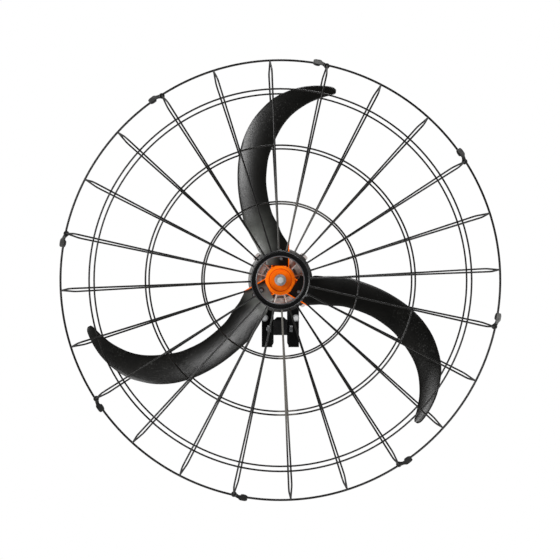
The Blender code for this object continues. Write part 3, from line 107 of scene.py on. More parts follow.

# Hub: radii of the line of painted shade round its cup, on the recess wall
HUB_SHADE_LINE = (0.0234, 0.0246, 0.0262, 0.0268)

# Motor shield: where its ribs' tops get a painted highlight, its rim is dull with painted shade low down, and
# its lugs are bare
RIB_HIGHLIGHT_HEIGHT = (0.0015, 0.0030)
RIB_HIGHLIGHT_RADIUS = (0.0600, 0.0560)
SHIELD_RIM = (0.0640, 0.0670, 0.0740, 0.0750)
SHIELD_SHADE = (0.0600, 0.0640, 0.0740, 0.0750)
SHIELD_SHADE_HEIGHT = (-0.030, -0.050)
LUG_START = (0.0740, 0.0750)
CAST_METALLIC = 0.9
LUG_METALLIC = 0.05

# Snap clips: the spoke of the first, the painted light on each (copies of one plastic, lit, plain and
# shaded), then the angles and radii where their eyes and hooks get painted shade, and the blue of their grey
FIRST_CLIP = 2
CLIP_LIGHTING = ("plain", "pale", "plain", "plain", "dark", "dark", "dark", "pale")
CLIP_EYE_SHADE_ANGLE = (0.0140, 0.0120)
CLIP_HOOK_SHADE_RADIUS = (0.4962, 0.4952)
CLIP_TINT = 0.97

# Their rounding: bevel, voxels, smoothing, and the swell that makes up for it
CLIP_EDGE = 0.0008
CLIP_VOXEL = 0.0006
CLIP_MELT = 0.5
CLIP_MELT_PASSES = 4
CLIP_SWELL = 0.0004

# Blades: their arms, wall, the root's height, the fall of the leading edge and the thinner lip at each edge
ARMS = tuple(math.radians(degrees) for degrees in (90, 210, 330))
BLADE_RADIUS = 0.4505
BLADE_WALL = 0.0036
ROOT_THICKENING = 0.0024
ROOT_HEIGHT = 0.028
BLADE_FALL = 0.026
EDGE_LIP = 0.0018
EDGE_INSET = 0.0010
MOST_FLAT = 0.9
CHORD_STEPS = 16
ROW_STEPS = 3
RIB_REACH = 0.084
ROOT_EDGE = -0.0174

# Root rows: how far along the hub's rib the trailing edge is, the leading edge's radius over the blade's and
# its angle from the arm in degrees, then three shares: the fall, the flat part of the chord and the root's
# thickening. The first row is in metres: trailing x and y, leading x and y, and the same shares.
ROOT_START = (0.032, ROOT_EDGE, 0.0345, 0.031, 0.10, 0.62, 1.0)
ROOT_ROWS = (
    (0.595, 0.1457, 35.4, 0.28, 0.48, 1.00),
    (0.790, 0.1710, 37.5, 0.46, 0.36, 1.00),
    (0.970, 0.1950, 36.4, 0.64, 0.25, 0.80),
)

# Outer rows: the trailing edge's radius over the blade's and its angle, the same of the leading edge, and the
# same shares
OUTER_ROWS = (
    (0.2110, -6.0, 0.2200, 35.2, 0.78, 0.16, 0.55),
    (0.2375, -1.2, 0.2450, 34.8, 0.90, 0.09, 0.32),
    (0.2760, 2.2, 0.2800, 34.0, 1.00, 0.04, 0.12),
    (0.3270, 6.5, 0.3300, 32.9, 1.00, 0.00, 0.00),
    (0.3770, 8.0, 0.3850, 30.1, 1.00, 0.00, 0.00),
    (0.4420, 8.4, 0.4600, 26.8, 0.98, 0.00, 0.00),
    (0.5000, 8.1, 0.5300, 23.9, 0.95, 0.00, 0.00),
    (0.5630, 6.8, 0.6030, 20.8, 0.91, 0.00, 0.00),
    (0.6200, 5.3, 0.6700, 17.8, 0.86, 0.00, 0.00),
    (0.6800, 2.9, 0.7440, 14.1, 0.80, 0.00, 0.00),
    (0.7350, 0.7, 0.8140, 9.9, 0.73, 0.00, 0.00),
    (0.7850, -1.6, 0.8700, 5.7, 0.66, 0.00, 0.00),
    (0.8300, -4.2, 0.9146, 1.9, 0.58, 0.00, 0.00),
    (0.8700, -7.1, 0.9480, -2.3, 0.50, 0.00, 0.00),
    (0.9050, -10.0, 0.9720, -6.2, 0.42, 0.00, 0.00),
    (0.9350, -13.0, 0.9870, -9.6, 0.34, 0.00, 0.00),
    (0.9500, -14.6, 0.9955, -12.4, 0.29, 0.00, 0.00),
    (0.9590, -15.5, 1.0000, -14.5, 0.26, 0.00, 0.00),
    (0.9650, -16.1, 0.9985, -15.6, 0.24, 0.00, 0.00),
    (0.9740, -16.55, 0.9915, -16.35, 0.22, 0.00, 0.00),
)

# Moulded rings under the blades' screws: places along and across the arm, then radius and height of a section
BOSSES = ((0.048, -0.002), (0.067, 0.0))
BOSS_PROFILE = (
    (0.0024, -0.002), (0.0024, 0.0009), (0.0027, 0.0012),
    (0.0052, 0.0012), (0.0057, 0.0008), (0.0058, -0.002),
)
BOSS_STEPS = 24

# Painted sheen on the blades' roots: scale, thresholds and strengths of its clouds, and how far round a boss
# it stays off
SHEEN_SCALE = 55.0
SHEEN_DETAIL = 3
SHEEN_THRESHOLDS = (0.3, 0.7)
SHEEN_STRENGTHS = (0.65, 1.0)
BOSS_SHEEN_GAP = (0.0056, 0.0066)

# Pale specks on the blades, mottle and painted glints: scale and thresholds of the dots and of their patches,
# then their radii
SPECKS_AND_GLINTS = ((300.0, 0.60, 0.68), (11.0, 0.46, 0.60))
SPECK_AND_GLINT_DETAIL = 2
SPECK_AND_GLINT_BAND = (0.20, 0.27, 0.38, 0.43)

# Grain of every finish: the finer layers of its patches and of its grain
PATCH_DETAIL = 4
GRAIN_DETAIL = 3

# Copied CAD pieces: metres and degrees under which points and faces count as one, and a rounded edge's steps
SAME_POINT = 0.00002
SAME_PLANE = 1.5
EDGE_SEGMENTS = 2

# Angles in degrees: from the first one a copied piece's edges are rounded, from the others edges look sharp
EDGE_ANGLE = 28
EDGE_SHARP = 40
RING_SHARP = 35
BLADE_SHARP = 50
WIRE_SHARP = 60

# Brightness of the room in front of the fan and behind it, for matt rays and glossy ones, and where it turns
FRONT_MATT = 0.45
FRONT_GLOSS = 0.045
BACK_MATT = 0.75
BACK_GLOSS = 0.35
ROOM_TURN = (-0.35, 0.55)

# Soft lamps: name, degrees around the view's axis, degrees off it, half sizes in degrees and level
LAMPS = (
    ("left_box", 163, 68, 19, 9, 15.5),
    ("low_right_box", 304, 49, 12, 9, 12.0),
    ("right_box", 332, 50, 8, 8, 11.0),
    ("low_left_box", 245, 77, 12, 8, 8.0),
    ("overhead_box", 84, 106, 14, 8, 14.0),
)
LAMP_REACH = 3.0
LAMP_TARGET = Vector((0, -0.25, 0))

# Camera: it looks straight at the wall, a trace off the fan's axis
CAMERA_DISTANCE = 5.1
CAMERA_ASIDE = -0.0008
CAMERA_UP = 0.0002
CAMERA_LENS = 144.94
CAMERA_SENSOR = 36
CAMERA_RANGE = 50


def head(x, y, z):
    """Return the world point of a point in the head's own axes."""
    return Vector((x, -RIM_STANDOFF - z, y))


def polar(radius, angle, height=0.0, across=0.0):
    """Return the world point at a radius and an angle in the head's own axes."""
    x = radius * math.cos(angle) - across * math.sin(angle)
    y = radius * math.sin(angle) + across * math.cos(angle)
    return head(x, y, height)


# Nodes of the materials

def shader_of(material):
    """Return a material's shader."""
    return material.node_tree.nodes["Principled BSDF"]


def math_node(tree, operation, *values):
    """Return what an operation makes of outputs and plain numbers."""
    node = tree.nodes.new("ShaderNodeMath")
    node.operation = operation
    for socket, value in zip(node.inputs, values):
        if isinstance(value, (int, float)):
            socket.default_value = value
        else:
            tree.links.new(value, socket)
    return node.outputs[0]


def vector_math(tree, operation, first, second=(0, 0, 0)):
    """Return the outputs of an operation on a vector and a fixed one."""
    node = tree.nodes.new("ShaderNodeVectorMath")
    node.operation = operation
    tree.links.new(first, node.inputs[0])
    node.inputs[1].default_value = second
    return node.outputs


def times(tree, first, *others):
    """Return the product of outputs."""
    product = first
    for other in others:
        product = math_node(tree, "MULTIPLY", product, other)
    return product


def mapped(tree, value, source, target):
    """Return a value mapped evenly from one range to another."""
    node = tree.nodes.new("ShaderNodeMapRange")
    node.inputs["From Min"].default_value = source[0]
    node.inputs["From Max"].default_value = source[1]
    node.inputs["To Min"].default_value = target[0]
    node.inputs["To Max"].default_value = target[1]
    tree.links.new(value, node.inputs["Value"])
    return node.outputs["Result"]


def step_mask(tree, value, low, high):
    """Return a value that climbs from 0 to 1 between two values."""
    node = tree.nodes.new("ShaderNodeMapRange")
    node.interpolation_type = "SMOOTHSTEP"
    node.inputs["From Min"].default_value = low
    node.inputs["From Max"].default_value = high
    tree.links.new(value, node.inputs["Value"])
    return node.outputs["Result"]


def band_mask(tree, value, start, full, fade, end):
    """Return a value that is 1 between full and fade, and 0 before start and past end."""
    return times(tree, step_mask(tree, value, start, full), step_mask(tree, value, end, fade))


def object_point(tree):
    """Return the point in the part's own axes."""
    return tree.nodes.new("ShaderNodeTexCoord").outputs["Object"]


def point_parts(tree):
    """Return the point's three parts in the part's own axes."""
    split = tree.nodes.new("ShaderNodeSeparateXYZ")
    tree.links.new(object_point(tree), split.inputs["Vector"])
    return split.outputs


def flat_point(tree):
    """Return the point, pressed flat along the rotor's axis."""
    return vector_math(tree, "MULTIPLY", object_point(tree), (1, 0, 1))["Vector"]


def axis_radius(tree):
    """Return the distance from the rotor's axis."""
    return vector_math(tree, "LENGTH", flat_point(tree))["Value"]


def axis_angle(tree, start, half=math.pi):
    """Return the angle about the rotor's axis from a start angle, wrapped to half a period either way."""
    parts = point_parts(tree)
    angle = math_node(tree, "ARCTAN2", parts["Z"], parts["X"])
    return math_node(tree, "WRAP", math_node(tree, "SUBTRACT", angle, start), half, -half)


def noise(tree, point, scale, detail):
    """Return a cloudy value at a point, with a scale and a number of finer layers."""
    node = tree.nodes.new("ShaderNodeTexNoise")
    node.inputs["Scale"].default_value = scale
    node.inputs["Detail"].default_value = detail
    tree.links.new(point, node.inputs["Vector"])
    return node.outputs["Fac"]


def grained(name, dark, light, rough, *, patch, grain, bump, depth, metallic=0.0, specular=0.5,
            stretch=(1, 1, 1), spread=(0.35, 0.65)):
    """Return a finish whose colour drifts in patches and whose roughness and height have a fine grain."""
    material = bpy.data.materials.new(name)
    material.use_nodes = True
    tree = material.node_tree
    shader = shader_of(material)
    shader.inputs["Metallic"].default_value = metallic
    shader.inputs["Specular IOR Level"].default_value = specular
    mapping = tree.nodes.new("ShaderNodeMapping")
    mapping.inputs["Scale"].default_value = stretch
    tree.links.new(object_point(tree), mapping.inputs["Vector"])
    patches = noise(tree, mapping.outputs["Vector"], patch, PATCH_DETAIL)
    fine = noise(tree, mapping.outputs["Vector"], grain, GRAIN_DETAIL)
    ramp = tree.nodes.new("ShaderNodeValToRGB")
    for stop, position, colour in zip(ramp.color_ramp.elements, spread, (dark, light)):
        stop.position = position
        stop.color = (*colour, 1)
    relief = tree.nodes.new("ShaderNodeBump")
    relief.inputs["Strength"].default_value = bump
    relief.inputs["Distance"].default_value = depth
    tree.links.new(patches, ramp.inputs["Fac"])
    tree.links.new(ramp.outputs["Color"], shader.inputs["Base Color"])
    tree.links.new(mapped(tree, fine, (0, 1), rough), shader.inputs["Roughness"])
    tree.links.new(fine, relief.inputs["Height"])
    tree.links.new(relief.outputs["Normal"], shader.inputs["Normal"])
    return material


def blend_wear_and_painted_light(material, mask, colour):
    """Blend another colour into a finish where its mask says: wear, and painted light and shade."""
    tree = material.node_tree
    base = shader_of(material).inputs["Base Color"]
    mix = tree.nodes.new("ShaderNodeMix")
    mix.data_type = "RGBA"
    factor, below, above = mix.inputs[0], mix.inputs[6], mix.inputs[7]
    tree.links.new(mask, factor)
    tree.links.new(base.links[0].from_socket, below)
    above.default_value = (*colour, 1)
    tree.links.new(mix.outputs[2], base)


# Materials

def wire_coat():
    """Return the guard's black coat, with painted highlights on some of its wires."""
    material = grained("wire_coat", (0.0030, 0.0028, 0.0025), (0.0070, 0.0064, 0.0057), (0.30, 0.42),
                       patch=60, grain=1500, bump=0.10, depth=0.0002, specular=0.40)
    tree = material.node_tree
    for middle, spread, near, far, colour in WIRE_PAINTED_HIGHLIGHTS:
        aside = math_node(tree, "ABSOLUTE", axis_angle(tree, math.radians(middle)))
        wedge = step_mask(tree, aside, math.radians(spread), math.radians(spread * WIRE_HIGHLIGHT_CORE))
        blend_wear_and_painted_light(material, times(tree, wedge, step_mask(tree, axis_radius(tree), far, near)), colour)
    return material


def badge_plastic():
    """Return the badge ring's black plastic, with painted highlights along its lips."""
    material = grained("badge_plastic", (0.0020, 0.0020, 0.0020), (0.0040, 0.0040, 0.0040), (0.22, 0.32),
                       patch=60, grain=1600, bump=0.06, depth=0.0002)
    tree = material.node_tree
    radius = axis_radius(tree)
    for start, end, level in BADGE_LIP_HIGHLIGHTS:
        band = band_mask(tree, radius, start - BADGE_HIGHLIGHT_BLUR, start + BADGE_HIGHLIGHT_BLUR,
                         end - BADGE_HIGHLIGHT_BLUR, end + BADGE_HIGHLIGHT_BLUR)
        blend_wear_and_painted_light(material, band, (level, level, level * BADGE_HIGHLIGHT_TINT))
    return material


def hub_plastic():
    """Return the hub's orange plastic, with a line of painted shade round its cup."""
    material = grained("hub_plastic", (0.97, 0.150, 0.0002), (1.0, 0.180, 0.0008), (0.34, 0.48), patch=70,
                       grain=1400, bump=0.12, depth=0.0003, specular=0.10)
    tree = material.node_tree
    blend_wear_and_painted_light(material, band_mask(tree, axis_radius(tree), *HUB_SHADE_LINE), (0.62, 0.075, 0.0001))
    return material


def cast_aluminium():
    """Return the motor's casting: painted highlight on its ribs' tops, a dull rim with painted shade low
    down, bare lugs.
    """
    material = grained("cast_aluminium", (0.34, 0.33, 0.315), (0.56, 0.55, 0.53), (0.38, 0.58), patch=110,
                       grain=1300, bump=0.35, depth=0.0004, metallic=CAST_METALLIC)
    tree = material.node_tree
    parts = point_parts(tree)
    radius = axis_radius(tree)
    in_front = step_mask(tree, parts["Y"], *(-RIM_STANDOFF - height for height in RIB_HIGHLIGHT_HEIGHT))
    low_down = step_mask(tree, parts["Z"], *SHIELD_SHADE_HEIGHT)
    lugs = step_mask(tree, radius, *LUG_START)
    # Painted highlight on the ribs' tops
    blend_wear_and_painted_light(material, times(tree, in_front, step_mask(tree, radius, *RIB_HIGHLIGHT_RADIUS)), (0.82, 0.80, 0.76))
    blend_wear_and_painted_light(material, band_mask(tree, radius, *SHIELD_RIM), (0.15, 0.148, 0.145))
    blend_wear_and_painted_light(material, lugs, (0.62, 0.615, 0.60))
    # Painted shade on the rim, low down
    blend_wear_and_painted_light(material, times(tree, band_mask(tree, radius, *SHIELD_SHADE), low_down), (0.035, 0.034, 0.033))
    tree.links.new(mapped(tree, lugs, (0, 1), (CAST_METALLIC, LUG_METALLIC)),
                   shader_of(material).inputs["Metallic"])
    return material


def clip_plastic(name, low, high):
    """Return a clip's grey plastic, with painted shade at its eye and at its hook."""
    material = grained(name, (low, low, low * CLIP_TINT), (high, high, high * CLIP_TINT), (0.34, 0.52),
                       patch=140, grain=2200, bump=0.15, depth=0.0002)
    tree = material.node_tree
    clip_angle = FIRST_SPOKE + math.tau * FIRST_CLIP / SPOKES
    from_wire = axis_angle(tree, clip_angle, math.pi / len(CLIP_LIGHTING))
    blend_wear_and_painted_light(material, step_mask(tree, from_wire, *CLIP_EYE_SHADE_ANGLE), (0.010, 0.0095, 0.009))
    blend_wear_and_painted_light(material, step_mask(tree, axis_radius(tree), *CLIP_HOOK_SHADE_RADIUS), (0.006, 0.006, 0.006))
    return material


def blade_plastic():
    """Return the blades' black plastic, with fine pale specks in patches: partly mottle, partly painted
    glints.
    """
    material = grained("blade_plastic", (0.0008, 0.0007, 0.0004), (0.0028, 0.0025, 0.0017), (0.26, 0.44),
                       patch=45, grain=420, bump=0.35, depth=0.0006, spread=(0.3, 0.7))
    tree = material.node_tree
    point = object_point(tree)
    specks_and_glints = band_mask(tree, axis_radius(tree), *SPECK_AND_GLINT_BAND)
    for scale, low, high in SPECKS_AND_GLINTS:
        specks_and_glints = times(tree, specks_and_glints, step_mask(tree, noise(tree, point, scale, SPECK_AND_GLINT_DETAIL), low, high))
    blend_wear_and_painted_light(material, specks_and_glints, (0.030, 0.030, 0.028))
    return material


def blade_with_painted_sheen(name, colour, arm, radii, degrees):
    """Return a copy of the blades' finish with a painted sheen on its root, a paler, uneven grey, but not on
    its bosses.

    The painted sheen is full up to the first radius and gone at the second, and it grows between two angles
    from the blade's arm.
    """
    material = BLADE.copy()
    material.name = name
    tree = material.node_tree
    full, gone = radii
    painted_sheen = times(
        tree,
        step_mask(tree, axis_radius(tree), gone, full),
        step_mask(tree, axis_angle(tree, arm), *(math.radians(angle) for angle in degrees)),
        mapped(tree, noise(tree, object_point(tree), SHEEN_SCALE, SHEEN_DETAIL), SHEEN_THRESHOLDS, SHEEN_STRENGTHS),
    )
    point = flat_point(tree)
    for along, across in BOSSES:
        middle = polar(along, arm, 0, across)
        away = vector_math(tree, "DISTANCE", point, (middle.x, 0, middle.z))["Value"]
        painted_sheen = times(tree, painted_sheen, step_mask(tree, away, *BOSS_SHEEN_GAP))
    # Painted sheen on the root
    blend_wear_and_painted_light(material, painted_sheen, colour)
    return material


WIRE = wire_coat()
STEEL_COAT = grained("bracket_coat", (0.0004, 0.0004, 0.0005), (0.0012, 0.0012, 0.0013), (0.40, 0.54),
                     patch=90, grain=1800, bump=0.25, depth=0.0003, specular=0.14)
BLADE = blade_plastic()
# Blades 1 and 2 get a painted sheen on their roots; blade 3 keeps the plain finish
BLADE_FINISHES = (
    blade_with_painted_sheen("blade_plastic_painted_sheen", (0.088, 0.092, 0.083), ARMS[0], (0.110, 0.190), (-2, 30)),
    blade_with_painted_sheen("blade_plastic_painted_sheen_bright", (0.118, 0.124, 0.113), ARMS[1], (0.060, 0.105), (-30, 0)),
    BLADE,
)
BADGE = badge_plastic()
# Copies of one clip plastic with painted light: lit, plain and shaded
CLIP_LIT_AND_SHADED = {
    "plain": clip_plastic("clip_plastic", 0.030, 0.062),
    "pale": clip_plastic("clip_plastic_painted_lit", 0.070, 0.130),
    "dark": clip_plastic("clip_plastic_painted_shade", 0.003, 0.008),
}
RUBBERY = grained("block_plastic", (0.0020, 0.0020, 0.0023), (0.0050, 0.0050, 0.0054), (0.50, 0.65),
                  patch=120, grain=2400, bump=0.2, depth=0.0002, specular=0.20)
ORANGE = hub_plastic()
CAST = cast_aluminium()
ZINC = grained("zinc_plate", (0.60, 0.62, 0.64), (0.84, 0.85, 0.86), (0.28, 0.46), patch=260, grain=2600,
               bump=0.10, depth=0.0001, metallic=0.45)
BRIGHT_ZINC = grained("bright_zinc_plate", (0.55, 0.56, 0.57), (0.66, 0.66, 0.66), (0.30, 0.45), patch=260,
                      grain=2600, bump=0.10, depth=0.0001, metallic=0.15)
DULL_ZINC = grained("dull_zinc_plate", (0.31, 0.32, 0.33), (0.48, 0.49, 0.50), (0.36, 0.52), patch=260,
                    grain=2600, bump=0.12, depth=0.0001, metallic=0.35)
DARK_ZINC = grained("dark_zinc_plate", (0.10, 0.105, 0.11), (0.20, 0.205, 0.21), (0.36, 0.52), patch=260,
                    grain=2600, bump=0.12, depth=0.0001, metallic=0.35)
CORE = grained("core_laminate", (0.20, 0.20, 0.20), (0.36, 0.36, 0.36), (0.35, 0.55), patch=60, grain=2200,
               bump=0.6, depth=0.0004, metallic=0.5, stretch=(1, 14, 1))
COPPER = grained("varnished_copper", (0.31, 0.298, 0.282), (0.56, 0.540, 0.515), (0.34, 0.52), patch=90,
                 grain=900, bump=0.5, depth=0.0006, metallic=0.1)


# Shapes

def show(piece, node, body, material):
    """Let a piece stand for a CAD node, on its body, with its finish."""
    piece.data.materials.clear()
    piece.data.materials.append(material)
    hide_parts(node)
    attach(piece, body)


def linked(name, data):
    """Return a new object in the scene."""
    thing = bpy.data.objects.new(name, data)
    bpy.context.scene.collection.objects.link(thing)
    return thing


def softened(node, body, material, slot, width):
    """Let a copy of a CAD node, with its edges rounded, stand for it."""
    bm = bmesh.new()
    bm.from_mesh(NODES[node].data)
    bmesh.ops.remove_doubles(bm, verts=bm.verts, dist=SAME_POINT)
    bmesh.ops.dissolve_limit(bm, angle_limit=math.radians(SAME_PLANE), verts=bm.verts, edges=bm.edges)
    mesh = bpy.data.meshes.new(node + "_look")
    bm.to_mesh(mesh)
    bm.free()
    piece = linked(node + "_look", mesh)
    bevel = piece.modifiers.new("edges", "BEVEL")
    bevel.width = width
    bevel.segments = EDGE_SEGMENTS
    bevel.limit_method = "ANGLE"
    bevel.angle_limit = math.radians(EDGE_ANGLE)
    bevel.harden_normals = True
    mesh.shade_smooth()
    mesh.set_sharp_from_angle(angle=math.radians(EDGE_SHARP))
    show(piece, node, body, material)
    return piece


def melt(piece):
    """Round a piece all over, as a small moulded one is, and let it swell back to its size."""
    skin = piece.modifiers.new("skin", "REMESH")
    skin.mode = "VOXEL"
    skin.voxel_size = CLIP_VOXEL
    skin.use_smooth_shade = True
    smooth = piece.modifiers.new("melt", "SMOOTH")
    smooth.factor = CLIP_MELT
    smooth.iterations = CLIP_MELT_PASSES
    swell = piece.modifiers.new("swell", "DISPLACE")
    swell.mid_level = 0
    swell.strength = CLIP_SWELL


def mesh_object(name, bm, sharp):
    """Return an object for a bmesh, smooth but for edges that are sharper than an angle in degrees."""
    bmesh.ops.recalc_face_normals(bm, faces=bm.faces)
    mesh = bpy.data.meshes.new(name)
    bm.to_mesh(mesh)
    bm.free()
    mesh.shade_smooth()
    mesh.set_sharp_from_angle(angle=math.radians(sharp))
    return linked(name, mesh)


def join_into(piece, extra):
    """Add another object's mesh to a piece, and remove that object."""
    bm = bmesh.new()
    bm.from_mesh(piece.data)
    bm.from_mesh(extra.data)
    bm.to_mesh(piece.data)
    bm.free()
    bpy.data.objects.remove(extra)


def bridge(bm, first, second):
    """Add the faces between two closed rows of points."""
    for here in range(len(first)):
        after = (here + 1) % len(first)
        bm.faces.new((first[here], first[after], second[after], second[here]))


def turned(name, profile, steps):
    """Return a ring turned about the rotor's axis from (radius, height) points."""
    bm = bmesh.new()
    rows = []
    for step in range(steps):
        angle = math.tau * step / steps
        rows.append([bm.verts.new(polar(radius, angle, height)) for radius, height in profile])
    for here, after in zip(rows, rows[1:] + rows[:1]):
        bridge(bm, here, after)
    return mesh_object(name, bm, RING_SHARP)


def bent(points, reach):
    """Return a path whose corners are rounded: reach is how far from each corner its bend starts."""
    path = [points[0]]
    for before, corner, after, cut in zip(points, points[1:], points[2:], reach):
        start = corner + (before - corner).normalized() * cut
        end = corner + (after - corner).normalized() * cut
        for step in range(BEND_STEPS + 1):
            t = step / BEND_STEPS
            path.append(start * (1 - t) ** 2 + corner * 2 * t * (1 - t) + end * t**2)
    path.append(points[-1])
    return path


def wires(name, groups):
    """Return round wires as one mesh, from groups of: paths, the wire's diameter and whether they close."""
    bm = bmesh.new()
    for paths, diameter, cyclic in groups:
        curve = bpy.data.curves.new(name, "CURVE")
        curve.dimensions = "3D"
        curve.bevel_depth = diameter / 2
        curve.bevel_resolution = WIRE_RESOLUTION
        curve.use_fill_caps = not cyclic
        for path in paths:
            spline = curve.splines.new("POLY")
            spline.points.add(len(path) - 1)
            for point, place in zip(spline.points, path):
                point.co = (*place, 1)
            spline.use_cyclic_u = cyclic
            spline.use_smooth = True
        thing = linked(name, curve)
        bpy.context.view_layer.update()
        graph = bpy.context.evaluated_depsgraph_get()
        bm.from_mesh(bpy.data.meshes.new_from_object(thing.evaluated_get(graph), depsgraph=graph))
        bpy.data.objects.remove(thing)
    return mesh_object(name, bm, WIRE_SHARP)


def circle(radius, height, steps):
    """Return the points of a circle about the rotor's axis."""
    return [polar(radius, math.tau * step / steps, height) for step in range(steps)]


def face_height(radius, crown):
    """Return the height of a guard's face at a radius: straight from its knees to the crown over its eye."""
    share = (KNEE_RADIUS - radius) / (KNEE_RADIUS - EYE_RADIUS)
    return FACE_DEPTH + (crown - FACE_DEPTH) * share


def guard_half(name, side, crown, inner, ring_radii):
    """Return one half of the guard in smooth round wire: its side is 1 in front and -1 behind."""
    spokes = []
    for step in range(SPOKES):
        angle = FIRST_SPOKE + math.tau * step / SPOKES
        skew = [side * SKEW_RATE * (SKEW_RADIUS - radius) for radius in (KNEE_RADIUS, inner)]
        points = [
            polar(STUB_RADIUS, angle, side * (RIM_OFFSET - WELD_DEPTH)),
            polar(STUB_RADIUS, angle, side * STUB_LENGTH),
            polar(KNEE_RADIUS + KNEE_PROUD, angle, side * FACE_DEPTH, skew[0]),
            polar(inner, angle, side * face_height(inner, crown), skew[1]),
        ]
        spokes.append(bent(points, (STUB_BEND, KNEE_BEND)))
    rings = []
    for radius in ring_radii:
        rings.append(circle(radius, side * (face_height(radius, crown) - RING_DROP), RING_STEPS))
    rim = circle(RIM_RADIUS, side * RIM_OFFSET, RIM_STEPS)
    return wires(name, ((spokes, SPOKE_WIRE, False), (rings, RING_WIRE, True), ([rim], RIM_WIRE, True)))


def make_guard():
    """Make both halves of the guard, the rear one with its plate against the motor."""
    radii = [share * KNEE_RADIUS for share in RING_SHARES]
    front = guard_half("front_guard_look", 1, FRONT_CROWN, EYE_RADIUS - RING_WIRE / 2, radii + [EYE_RADIUS])
    show(front, "front_guard", "head", WIRE)
    plate_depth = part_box("motor_rear_shell")[1].y + RIM_STANDOFF + SEAT_GAP
    rear = guard_half("rear_guard_look", -1, plate_depth - SPOKE_SEAT / 2 + WELD_DEPTH, EYE_RADIUS, radii)
    plate = turned("rear_guard_plate", [
        (PLATE_INNER, -plate_depth), (PLATE_OUTER, -plate_depth),
        (PLATE_OUTER, -plate_depth - PLATE_SHEET), (PLATE_INNER, -plate_depth - PLATE_SHEET),
    ], PLATE_STEPS)
    join_into(rear, plate)
    show(rear, "rear_guard", "head", WIRE)


def make_badge():
    """Make the bare badge ring on the front guard's spokes."""
    seat = face_height(EYE_RADIUS, FRONT_CROWN) + SPOKE_SEAT / 2 + SEAT_GAP
    profile = [(radius, seat + height) for radius, height in BADGE_PROFILE]
    ring = turned("badge_ring_look", profile, BADGE_STEPS)
    show(ring, "badge_ring", "head", BADGE)


def smooth_value(a, b, c, d, t):
    """Return a number on the smooth curve through four, at a share from the second to the third."""
    bend = 2 * a - 5 * b + 4 * c - d
    twist = 3 * b - a - 3 * c + d
    return 0.5 * (2 * b + (c - a) * t + bend * t * t + twist * t**3)


def smooth_rows(rows, steps):
    """Return rows of numbers, with smooth rows put between them."""
    result = []
    for index in range(len(rows) - 1):
        before = rows[max(index - 1, 0)]
        first, second = rows[index], rows[index + 1]
        after = rows[min(index + 2, len(rows) - 1)]
        for step in range(steps):
            four = zip(before, first, second, after)
            result.append([smooth_value(*numbers, step / steps) for numbers in four])
    result.append(list(rows[-1]))
    return result


def blade_place(radius, degrees):
    """Return x and y of a point at a share of the blade's radius and an angle from its arm."""
    angle = math.radians(degrees)
    return radius * BLADE_RADIUS * math.cos(angle), radius * BLADE_RADIUS * math.sin(angle)


def blade_rows():
    """Return rows of: trailing x, y, leading x, y, fall, flat share and thickness share."""
    rows = [ROOT_START]
    for along, radius, degrees, *shares in ROOT_ROWS:
        rows.append((along * RIB_REACH, ROOT_EDGE, *blade_place(radius, degrees), *shares))
    for inner, trailing, outer, leading, *shares in OUTER_ROWS:
        rows.append((*blade_place(inner, trailing), *blade_place(outer, leading), *shares))
    return smooth_rows(rows, ROW_STEPS)


def add_boss(bm, along, across, turn):
    """Add the moulded ring under the head of a blade's screw."""
    rows = []
    for step in range(BOSS_STEPS):
        angle = math.tau * step / BOSS_STEPS
        row = []
        for radius, height in BOSS_PROFILE:
            place = Vector((along + radius * math.cos(angle), across + radius * math.sin(angle),
                            ROOT_HEIGHT + height))
            row.append(bm.verts.new(head(*(turn @ place))))
        rows.append(row)
    for here, after in zip(rows, rows[1:] + rows[:1]):
        bridge(bm, here, after)


def blade_section(bm, row, turn):
    """Add the points round one section of a blade, and return them."""
    trailing_x, trailing_y, leading_x, leading_y, fall, flat, thick = row
    flat = min(max(flat, 0), MOST_FLAT)
    wall = BLADE_WALL + ROOT_THICKENING * thick
    chord = Vector((trailing_x - leading_x, trailing_y - leading_y)).length
    front, behind = [], []
    for step in range(CHORD_STEPS + 1):
        share = step / CHORD_STEPS
        lean = max(0, share - flat) / (1 - flat)
        point = Vector((trailing_x, trailing_y, 0)).lerp(Vector((leading_x, leading_y, 0)), share)
        point.z = ROOT_HEIGHT - BLADE_FALL * fall * lean**2
        lip = max(0.0, 1 - min(share, 1 - share) * chord / EDGE_LIP)
        inset = EDGE_INSET * lip**2
        front.append(bm.verts.new(head(*(turn @ Vector((point.x, point.y, point.z - inset))))))
        behind.append(bm.verts.new(head(*(turn @ Vector((point.x, point.y, point.z - wall + inset))))))
    return front + behind[::-1]


def make_blade(number, arm, material):
    """Make one blade, turned to its arm."""
    turn = Matrix.Rotation(arm, 3, "Z")
    bm = bmesh.new()
    sections = [blade_section(bm, row, turn) for row in blade_rows()]
    for first, second in zip(sections, sections[1:]):
        bridge(bm, first, second)
    for end in (sections[0], sections[-1]):
        bm.faces.new(end)
    for along, across in BOSSES:
        add_boss(bm, along, across, turn)
    piece = mesh_object(f"blade_{number}_look", bm, BLADE_SHARP)
    show(piece, f"blade_{number}", "rotor", material)


# CAD pieces that get rounded edges: node, body, finish, slot and the width of the rounding
ROUNDED = (
    ("hub", "rotor", ORANGE, "orange_plastic", 0.0006),
    ("hub_washer", "rotor", DULL_ZINC, "bright_steel", 0.0003),
    ("hub_bolt", "rotor", BRIGHT_ZINC, "bright_steel", 0.0004),
    ("motor_front_shield", "head", CAST, "cast_aluminium", 0.0004),
    ("motor_rear_shell", "head", CAST, "cast_aluminium", 0.0005),
    ("wall_bracket", "bracket", STEEL_COAT, "black_steel", 0.0005),
    ("tilt_fork", "head", STEEL_COAT, "black_steel", 0.0005),
    ("spacer_block", "bracket", RUBBERY, "black_plastic", 0.0006),
)

